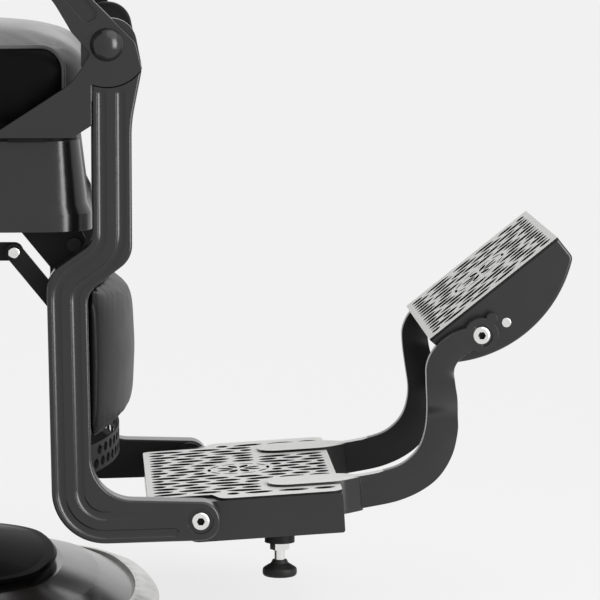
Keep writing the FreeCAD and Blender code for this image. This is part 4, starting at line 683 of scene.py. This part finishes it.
def slot_field(low_x, high_x, half, limits):
    """Rows of slots between the rims, round a ring of slots and a rosette in the middle."""
    middle = (low_x + high_x) / 2
    rows = int((half - SLOT_W / 2) / SLOT_ROW)
    slots = []
    for row in range(-rows, rows + 1):
        y = row * SLOT_ROW
        start, end = limits(abs(y))
        near = max(abs(y) - SLOT_W / 2, 0)
        if near < DISC_R:
            half_chord = math.sqrt(DISC_R ** 2 - near ** 2)
            slots += slot_row(row, y, [(start, middle - half_chord), (middle + half_chord, end)])
        else:
            slots += slot_row(row, y, [(start, end)])
    ring_slot_l = math.tau * RING_R / RING_SLOTS - RING_WEB
    for i in range(RING_SLOTS):
        turn = math.tau * i / RING_SLOTS
        x, y = middle + RING_R * math.cos(turn), RING_R * math.sin(turn)
        slots.append((x, y, ring_slot_l, RING_SLOT_W, turn + math.pi / 2))
    for i in range(PETALS):
        turn = math.tau * (i + 0.5) / PETALS
        x, y = middle + PETAL_R * math.cos(turn), PETAL_R * math.sin(turn)
        slots.append((x, y, PETAL_L, PETAL_W, turn))
    return slots


def laser_cut_plate(name, corners, slots, thick, place):
    """A flat plate from its corners (x, y, radius) and slots, dark in the cuts and underneath."""
    bm = bmesh.new()
    outline = [bm.verts.new((x, y, 0)) for x, y, _ in corners]
    bm.faces.new(outline)
    for vert, (_, _, radius) in zip(outline, corners):
        bmesh.ops.bevel(
            bm, geom=[vert], offset=radius, segments=CORNER_SIDES, profile=0.5, affect="VERTICES",
            material=-1
        )
    bmesh.ops.delete(bm, geom=bm.faces[:], context="FACES_ONLY")
    for x, y, length, width, lean in slots:
        cut = bmesh.ops.create_circle(bm, segments=SLOT_SIDES, radius=1.0)["verts"]
        for vert in cut:
            vert.co.y = math.copysign(1 - abs(vert.co.x) ** SLOT_POINT, vert.co.y)
        laid = Matrix.Translation((x, y, 0)) @ Matrix.Rotation(lean, 4, "Z")
        bmesh.ops.transform(bm, matrix=laid @ Matrix.Diagonal((length / 2, width / 2, 1, 1)), verts=cut)
    bmesh.ops.triangle_fill(bm, use_beauty=True, edges=bm.edges[:], normal=(0, 0, 1))
    raised = bmesh.ops.extrude_face_region(bm, geom=bm.faces[:])["geom"]
    lifted = [part for part in raised if isinstance(part, bmesh.types.BMVert)]
    bmesh.ops.translate(bm, vec=(0, 0, thick), verts=lifted)
    bmesh.ops.recalc_face_normals(bm, faces=bm.faces)
    # Upward faces take the silver; the walls of the cuts and the underside take the dark finish, painted
    # shade inside the slots.
    for face in bm.faces:
        face.material_index = 0 if face.normal.z > FACES_UP else 1
    bmesh.ops.transform(bm, matrix=place, verts=bm.verts)
    plate = as_piece(bm, name)
    plate.data.materials.append(silver_and_painted_reflection)
    plate.data.materials.append(primer_and_painted_shade)
    return plate


def tray_limits(y):
    """Where a row of slots starts and ends beside the tray's step and the arms' feet."""
    start = TRAY_STEP if y + SLOT_W / 2 > REAR_HALF - RIM_W else TRAY_REAR
    beside_foot = FOOT_INNER - RIM_W < y + SLOT_W / 2 and y - SLOT_W / 2 < FOOT_OUTER + RIM_W
    return start + RIM_W, (FOOT_REAR if beside_foot else TRAY_FRONT) - RIM_W


cut_sizes = random.Random(CUT_SEED)
right_corners = [
    (TRAY_REAR, -REAR_HALF, REAR_R), (TRAY_STEP - STEP_RUN, -REAR_HALF, STEP_INNER_R),
    (TRAY_STEP, -TRAY_HALF, STEP_OUTER_R), (TRAY_FRONT, -TRAY_HALF, FRONT_R),
    (TRAY_FRONT, -FOOT_OUTER, MOUTH_R), (FOOT_REAR, -FOOT_OUTER, FOOT_R),
    (FOOT_REAR, -FOOT_INNER, FOOT_R), (TRAY_FRONT, -FOOT_INNER, MOUTH_R),
]
left_corners = [(x, -y, radius) for x, y, radius in reversed(right_corners)]
on_tray = Matrix.Translation(TOE_HINGE) @ Matrix.Rotation(math.radians(-TRAY_TILT), 4, "Y")
foot_slots = slot_field(TRAY_REAR, TRAY_FRONT, TRAY_HALF - RIM_W, tray_limits)
foot_plate = laser_cut_plate(
    "foot_grating_cut", right_corners + left_corners, foot_slots, GRATING_T,
    on_tray @ Matrix.Translation((0, 0, TRAY_TOP))
)
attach(foot_plate, "footplate")
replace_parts(foot_plate, "foot_grating")

# Flip-rest arms: charcoal coated castings, each a broad foot bolted into the tray, a
# strap on edge that swings up and outwards in one S-curve, and an eye for the pivot.
# The tops of the feet are painted pale silver as a painted reflection, and the inward
# faces are painted dark as painted shade.

ARM_T = 0.0165
EYE_AT = Vector((0.7074, 0, 0.3328))
EYE_R = 0.0195
EYE_IN = 0.1635
EYE_SIDES = 48
BORE_R = 0.013
BORE_DEEP = 0.0028
BOSS_FROM_EYE = Vector((0.0116, 0, 0.0186))
BOSS_R = 0.0064
FOOT_T = 0.039
FOOT_LOW = -0.0188
SHOULDER_R = 0.012
NECK_RUN = 0.026
NECK_OUTER = 0.1355
NECK_INNER = 0.1195
NECK_R = 0.004
# Upward faces before this x are painted pale silver as a painted reflection.
FOOT_PAINTED_REFLECTION_TO = 0.60
FOOT_FACES_UP = 0.9
ARM_EDGE_R = 0.0012
ARM_EDGE_TURN = 1.0
ARM_SHARP_DEG = 35
ARM_STEPS = 6

# Upper and lower edge of the strap from the foot to the eye: x, z, x, z, middle y.
ARM_KEYS = (
    (0.530, 0.1627, 0.530, 0.1237, 0.1275), (0.550, 0.1639, 0.550, 0.1249, 0.1275),
    (0.575, 0.1666, 0.585, 0.1300, 0.1275), (0.600, 0.1714, 0.618, 0.1370, 0.1275),
    (0.620, 0.1783, 0.645, 0.1490, 0.1275), (0.634, 0.1890, 0.665, 0.1655, 0.1275),
    (0.643, 0.2020, 0.679, 0.1895, 0.1275), (0.6478, 0.2180, 0.685, 0.2160, 0.1280),
    (0.6492, 0.2340, 0.6845, 0.2360, 0.1335), (0.6475, 0.2560, 0.682, 0.2580, 0.1555),
    (0.6452, 0.2820, 0.678, 0.2770, 0.1705), (0.6460, 0.3010, 0.6765, 0.2930, 0.17175),
    (0.6560, 0.3200, 0.682, 0.3040, 0.17175), (0.6750, 0.3350, 0.694, 0.3130, 0.17175),
    (0.7000, 0.3440, 0.710, 0.3200, 0.17175),
)


def flowing(keys):
    """Points on a smooth line through the keys."""
    line = []
    for i, (start, end) in enumerate(zip(keys, keys[1:])):
        before = keys[max(i - 1, 0)]
        after = keys[min(i + 2, len(keys) - 1)]
        line += geometry.interpolate_bezier(
            start, start + (end - before) / 6, end - (after - start) / 6, end, ARM_STEPS + 1
        )[:-1]
    return line + [keys[-1]]


def arm_strap():
    """The strap: a rectangle drawn along both edges, its long edges rounded."""
    upper = flowing([Vector((x, -y, z)) for x, z, _, _, y in ARM_KEYS])
    lower = flowing([Vector((x, -y, z)) for _, _, x, z, y in ARM_KEYS])
    half = Vector((0, ARM_T / 2, 0))

    def section(high, low):
        return high - half, high + half, low + half, low - half

    bm = bmesh.new()
    loop = [bm.verts.new(spot) for spot in section(upper[0], lower[0])]
    face = bm.faces.new(loop)
    for high, low in zip(upper[1:], lower[1:]):
        face = bmesh.ops.extrude_discrete_faces(bm, faces=[face])["faces"][0]
        for vert, spot in zip(face.verts, section(high, low)):
            vert.co = spot
    bm.faces.new(reversed(loop))
    bmesh.ops.remove_doubles(bm, verts=bm.verts, dist=1e-6)
    rails = [edge for edge in bm.edges if edge.calc_face_angle(0) > ARM_EDGE_TURN]
    bmesh.ops.bevel(
        bm, geom=rails, offset=ARM_EDGE_R, segments=2, profile=0.5, affect="EDGES", material=-1
    )
    bmesh.ops.recalc_face_normals(bm, faces=bm.faces)
    return as_piece(bm, "arm_strap")


def arm_foot():
    """The foot: a tapered plate with a round end, laid in the tray."""
    neck = TRAY_FRONT + NECK_RUN
    corners = [
        (FOOT_REAR, -FOOT_OUTER, FOOT_R), (TRAY_FRONT, -FOOT_OUTER, SHOULDER_R),
        (neck, -NECK_OUTER, NECK_R), (neck, -NECK_INNER, NECK_R),
        (TRAY_FRONT, -FOOT_INNER, SHOULDER_R), (FOOT_REAR, -FOOT_INNER, FOOT_R),
    ]
    return laser_cut_plate("arm_foot", corners, [], FOOT_T, on_tray @ Matrix.Translation((0, 0, FOOT_LOW)))


def arm_round(name, centre, radius, bore):
    """A round of the arm's thickness, with a sunk face for a screw where there is a bore."""
    bm = bmesh.new()
    middle = centre - Vector((0, EYE_IN + ARM_T / 2, 0))
    across = Matrix.Translation(middle) @ Matrix.Rotation(math.pi / 2, 4, "X")
    bmesh.ops.create_cone(
        bm, cap_ends=True, segments=EYE_SIDES, radius1=radius, radius2=radius, depth=ARM_T, matrix=across
    )
    if bore:
        outer = min(bm.faces, key=lambda face: face.calc_center_median().y)
        bmesh.ops.inset_region(bm, faces=[outer], thickness=radius - bore)
        sunk = bmesh.ops.extrude_discrete_faces(bm, faces=[outer])["faces"][0]
        bmesh.ops.translate(bm, vec=(0, BORE_DEEP, 0), verts=sunk.verts)
    bmesh.ops.recalc_face_normals(bm, faces=bm.faces)
    return as_piece(bm, name)


def flip_arm(name, side):
    """One arm: strap, foot, eye and boss united, on the right (1) or the left (-1)."""
    arm = arm_strap()
    arm.name = name
    additions = [
        arm_foot(), arm_round("arm_eye", EYE_AT, EYE_R, BORE_R),
        arm_round("arm_boss", EYE_AT + BOSS_FROM_EYE, BOSS_R, 0),
    ]
    for addition in additions:
        union = arm.modifiers.new("union", "BOOLEAN")
        union.operation = "UNION"
        union.solver = "EXACT"
        union.object = addition
    mesh = evaluated_mesh(arm)
    arm.modifiers.clear()
    for addition in additions:
        bpy.data.objects.remove(addition)
    bm = bmesh.new()
    bm.from_mesh(mesh)
    bmesh.ops.scale(bm, vec=(1, side, 1), verts=bm.verts)
    bmesh.ops.remove_doubles(bm, verts=bm.verts, dist=1e-5)
    bmesh.ops.recalc_face_normals(bm, faces=bm.faces)
    bm.to_mesh(mesh)
    bm.free()
    mesh.materials.clear()
    for finish in (coated_casting, primer_and_painted_shade, silver_and_painted_reflection):
        mesh.materials.append(finish)
    # Painted shade on the inward faces; painted reflection in pale silver on the upward faces of the foot and
    # the strap's near part.
    for polygon in mesh.polygons:
        polygon.use_smooth = True
        polygon.material_index = 1 if faces_inwards(polygon) else 0
        if polygon.normal.z > FOOT_FACES_UP and polygon.center.x < FOOT_PAINTED_REFLECTION_TO:
            polygon.material_index = 2
    mesh.set_sharp_from_angle(angle=math.radians(ARM_SHARP_DEG))
    arm.data = mesh
    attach(arm, "footplate")
    return arm


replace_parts(flip_arm("flip_arm_right_cast", 1), "flip_arm_right")
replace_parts(flip_arm("flip_arm_left_cast", -1), "flip_arm_left")

# Flip-over footrest: pierced silver plate for the feet on one face, a padded vinyl
# belly for the calves on the other, between two coated side plates. It turns on the
# eyes of the arms.

FLIP_TILT = 38.5
FLIP_FACE = 0.0281
FLIP_NEAR = -0.0492
FLIP_FAR = 0.1365
FLIP_HALF = 0.162
FLIP_T = 0.003
FLIP_R = 0.003
BELLY_DRAWN_IN = 0.0012
BELLY_SWELL = 0.0012

finish_nodes(coated_steel, "flip_side_right", "flip_side_left")
on_flip = Matrix.Translation(EYE_AT) @ Matrix.Rotation(math.radians(-FLIP_TILT), 4, "Y")
flip_slots = slot_field(
    FLIP_NEAR, FLIP_FAR, FLIP_HALF - RIM_W, lambda y: (FLIP_NEAR + RIM_W, FLIP_FAR - RIM_W)
)
flip_corners = [
    (FLIP_NEAR, -FLIP_HALF, FLIP_R), (FLIP_FAR, -FLIP_HALF, FLIP_R),
    (FLIP_FAR, FLIP_HALF, FLIP_R), (FLIP_NEAR, FLIP_HALF, FLIP_R),
]
flip_plate = laser_cut_plate(
    "flip_grating_cut", flip_corners, flip_slots, FLIP_T, on_flip @ Matrix.Translation((0, 0, FLIP_FACE))
)
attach(flip_plate, "flip_rest")
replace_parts(flip_plate, "flip_grating")
belly = foam_blank("flip_pad", "flip_pad_vinyl", BELLY_DRAWN_IN)
stuff(belly, [], BELLY_SWELL, pressure=2.0)
belly.data.materials[0] = pad_vinyl
upholster(belly, "flip_pad", "flip_rest")

# Back: two hinged arms with cranks carry a pressed panel, a moulded cover closes it
# behind, and a foam cushion in piped vinyl faces the sitter.

ABS_BLACK = "#202021"
ABS_SPARK_MM = 1.5
BACK_TILT = 12
BACK_DRAWN_IN = 0.004
BACK_SWELL = 0.006
BACK_REAR = -0.029
BACK_T = 0.084
BACK_SEAM_DEEP = 0.62
BACK_SEAM_HALF = 0.216
BACK_SEAM_LOW = 0.098
BACK_SEAM_HIGH = 0.542
BACK_SEAM_R = 0.062

# Moulded ABS: a fine spark-eroded texture, evenly dull.
shell, tree, shader, place = new_material("abs_shell_black")
shader.inputs["Base Color"].default_value = linear(ABS_BLACK)
eroded = add(tree, "ShaderNodeTexNoise", {"Vector": place, "Scale": per_mm(ABS_SPARK_MM), "Detail": 2.0})
dull = add(tree, "ShaderNodeMapRange", {"Value": eroded.outputs["Fac"], "To Min": 0.46, "To Max": 0.58})
tree.links.new(dull.outputs["Result"], shader.inputs["Roughness"])
skin = add(
    tree, "ShaderNodeBump", {"Height": eroded.outputs["Fac"], "Strength": 0.2, "Distance": 0.0002}
)
tree.links.new(skin.outputs["Normal"], shader.inputs["Normal"])
finish_nodes(shell, "back_cover")
finish_nodes(coated_steel, "back_arm_right", "back_arm_left", "back_panel", "headrest_socket")

recline = next(joint for joint in frame["joints"] if joint["name"] == "recline")
on_back = Matrix.Translation(recline["pos_m"]) @ Matrix.Rotation(math.radians(-BACK_TILT), 4, "Y")


def edge_seam(piece, x, half, low, high, radius):
    """A rounded-rectangle seam round an upright cushion, given in the back's own frame."""
    route = []
    corners = ((half - radius, high - radius, 0), (-half + radius, high - radius, 90),
               (-half + radius, low + radius, 180), (half - radius, low + radius, 270))
    for y, z, first in corners:
        route += [on_back @ Vector((x, *spot)) for spot in round_corner(y, z, radius, first, 90, 15)]
    route.append(route[0])
    return seam_line(piece, route)[:-1]


back = foam_blank("back_cushion", "back_cushion_vinyl", BACK_DRAWN_IN)
back_seam = edge_seam(
    back, BACK_REAR + BACK_SEAM_DEEP * BACK_T, BACK_SEAM_HALF, BACK_SEAM_LOW, BACK_SEAM_HIGH, BACK_SEAM_R
)
stuff(back, [back_seam], BACK_SWELL)
piping("back_piping", back, [back_seam], "back", closed=True)
upholster(back, "back_cushion", "back")

# Headrest: a small foam cushion in piped vinyl, on a flat chromed post that slides in
# the socket at the top of the back.

HEAD_DRAWN_IN = 0.003
HEAD_SWELL = 0.005
HEAD_REAR = -0.038
HEAD_T = 0.076
HEAD_SEAM_DEEP = 0.5
HEAD_SEAM_HALF = 0.130
HEAD_SEAM_LOW = 0.564
HEAD_SEAM_HIGH = 0.700
HEAD_SEAM_R = 0.042

head = foam_blank("headrest_cushion", "headrest_cushion_vinyl", HEAD_DRAWN_IN)
head_seam = edge_seam(
    head, HEAD_REAR + HEAD_SEAM_DEEP * HEAD_T, HEAD_SEAM_HALF, HEAD_SEAM_LOW, HEAD_SEAM_HIGH, HEAD_SEAM_R
)
stuff(head, [head_seam], HEAD_SWELL)
piping("headrest_piping", head, [head_seam], "headrest", closed=True)
upholster(head, "headrest_cushion", "headrest")

# Hand levers: flat coated bars on the seat box with moulded rubber grips, one for the
# recline lock and one for the lift.

finish_nodes(coated_steel, "recline_lever", "lift_lever")

# Studio: a pale floor that runs out past the view, an even sky, a broad soft lamp above,
# a tall softbox in front of the chair, and the camera low on its right-hand side.

BACKDROP = "#f4f4f4"
PAPER = "#ffffff"
FLOOR_HALF = 60.0
FLOOR_GLOW = 0.85
SKY_FILL = 0.5
DIFFUSER_ENERGY = 0.9
DIFFUSER_DEG = 60
DIFFUSER_AIM = (-0.5, 0.25, -0.85)
SOFTBOX_W = 0.9
SOFTBOX_H = 1.7
SOFTBOX_SPREAD_DEG = 100
SOFTBOX_ENERGY = 13
SOFTBOX_AT = (1.75, -1.35, 0.87)
SOFTBOX_AIM = (-1.5, 1.15, -0.2)
CAMERA_AT = (0.2535, -4.655, 0.893)
CAMERA_LOOK = (0.055416, 1.0, -0.115869)
LENS = 240.157


def seen_directly(tree):
    """1 for rays of the camera, of reflections and of clear materials, 0 for the light on things."""
    path = add(tree, "ShaderNodeLightPath", {})
    seen = path.outputs["Is Camera Ray"]
    for kind in ("Is Glossy Ray", "Is Transmission Ray"):
        seen = add(tree, "ShaderNodeMath", {0: seen, 1: path.outputs[kind]}, operation="MAXIMUM").outputs[0]
    return seen


def aimed(direction):
    """The turn of a lamp or camera that looks in a direction."""
    return Vector(direction).to_track_quat("-Z", "Y").to_euler()


bm = bmesh.new()
bmesh.ops.create_grid(bm, x_segments=1, y_segments=1, size=FLOOR_HALF)
floor = as_piece(bm, "studio_floor")
floor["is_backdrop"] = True
paper, tree, shader, _ = new_material("pale_studio_floor")
shader.inputs["Base Color"].default_value = linear(PAPER)
shader.inputs["Roughness"].default_value = 0.9
shader.inputs["Specular IOR Level"].default_value = 0.0
glow = add(tree, "ShaderNodeEmission", {"Color": linear(BACKDROP)})
share = add(tree, "ShaderNodeMath", {0: seen_directly(tree), 1: FLOOR_GLOW}, operation="MULTIPLY")
lit = add(
    tree, "ShaderNodeMixShader",
    {0: share.outputs[0], 1: shader.outputs["BSDF"], 2: glow.outputs["Emission"]},
)
tree.links.new(lit.outputs["Shader"], tree.get_output_node("ALL").inputs["Surface"])
floor.data.materials.append(paper)

world = bpy.data.worlds.new("studio_sky")
bpy.context.scene.world = world
world.use_nodes = True
tree = world.node_tree
tree.nodes.clear()
fill = add(tree, "ShaderNodeBackground", {"Color": (1, 1, 1, 1), "Strength": SKY_FILL})
backdrop = add(tree, "ShaderNodeBackground", {"Color": linear(BACKDROP), "Strength": 1.0})
both = add(
    tree, "ShaderNodeMixShader",
    {0: seen_directly(tree), 1: fill.outputs["Background"], 2: backdrop.outputs["Background"]},
)
add(tree, "ShaderNodeOutputWorld", {"Surface": both.outputs["Shader"]})

lamp = bpy.data.lights.new("overhead_diffuser", "SUN")
lamp.energy = DIFFUSER_ENERGY
lamp.angle = math.radians(DIFFUSER_DEG)
diffuser = placed("overhead_diffuser", lamp)
diffuser.rotation_euler = aimed(DIFFUSER_AIM)

lamp = bpy.data.lights.new("front_softbox", "AREA")
lamp.shape = "RECTANGLE"
lamp.size = SOFTBOX_W
lamp.size_y = SOFTBOX_H
lamp.spread = math.radians(SOFTBOX_SPREAD_DEG)
lamp.energy = SOFTBOX_ENERGY
softbox = placed("front_softbox", lamp)
softbox.location = SOFTBOX_AT
softbox.rotation_euler = aimed(SOFTBOX_AIM)
softbox.visible_camera = False

camera_data = bpy.data.cameras.new("camera")
camera_data.lens = LENS
camera = placed("camera", camera_data)
camera.location = CAMERA_AT
camera.rotation_euler = aimed(CAMERA_LOOK)
bpy.context.scene.camera = camera
bpy.context.scene.view_settings.view_transform = "Standard"

low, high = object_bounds()
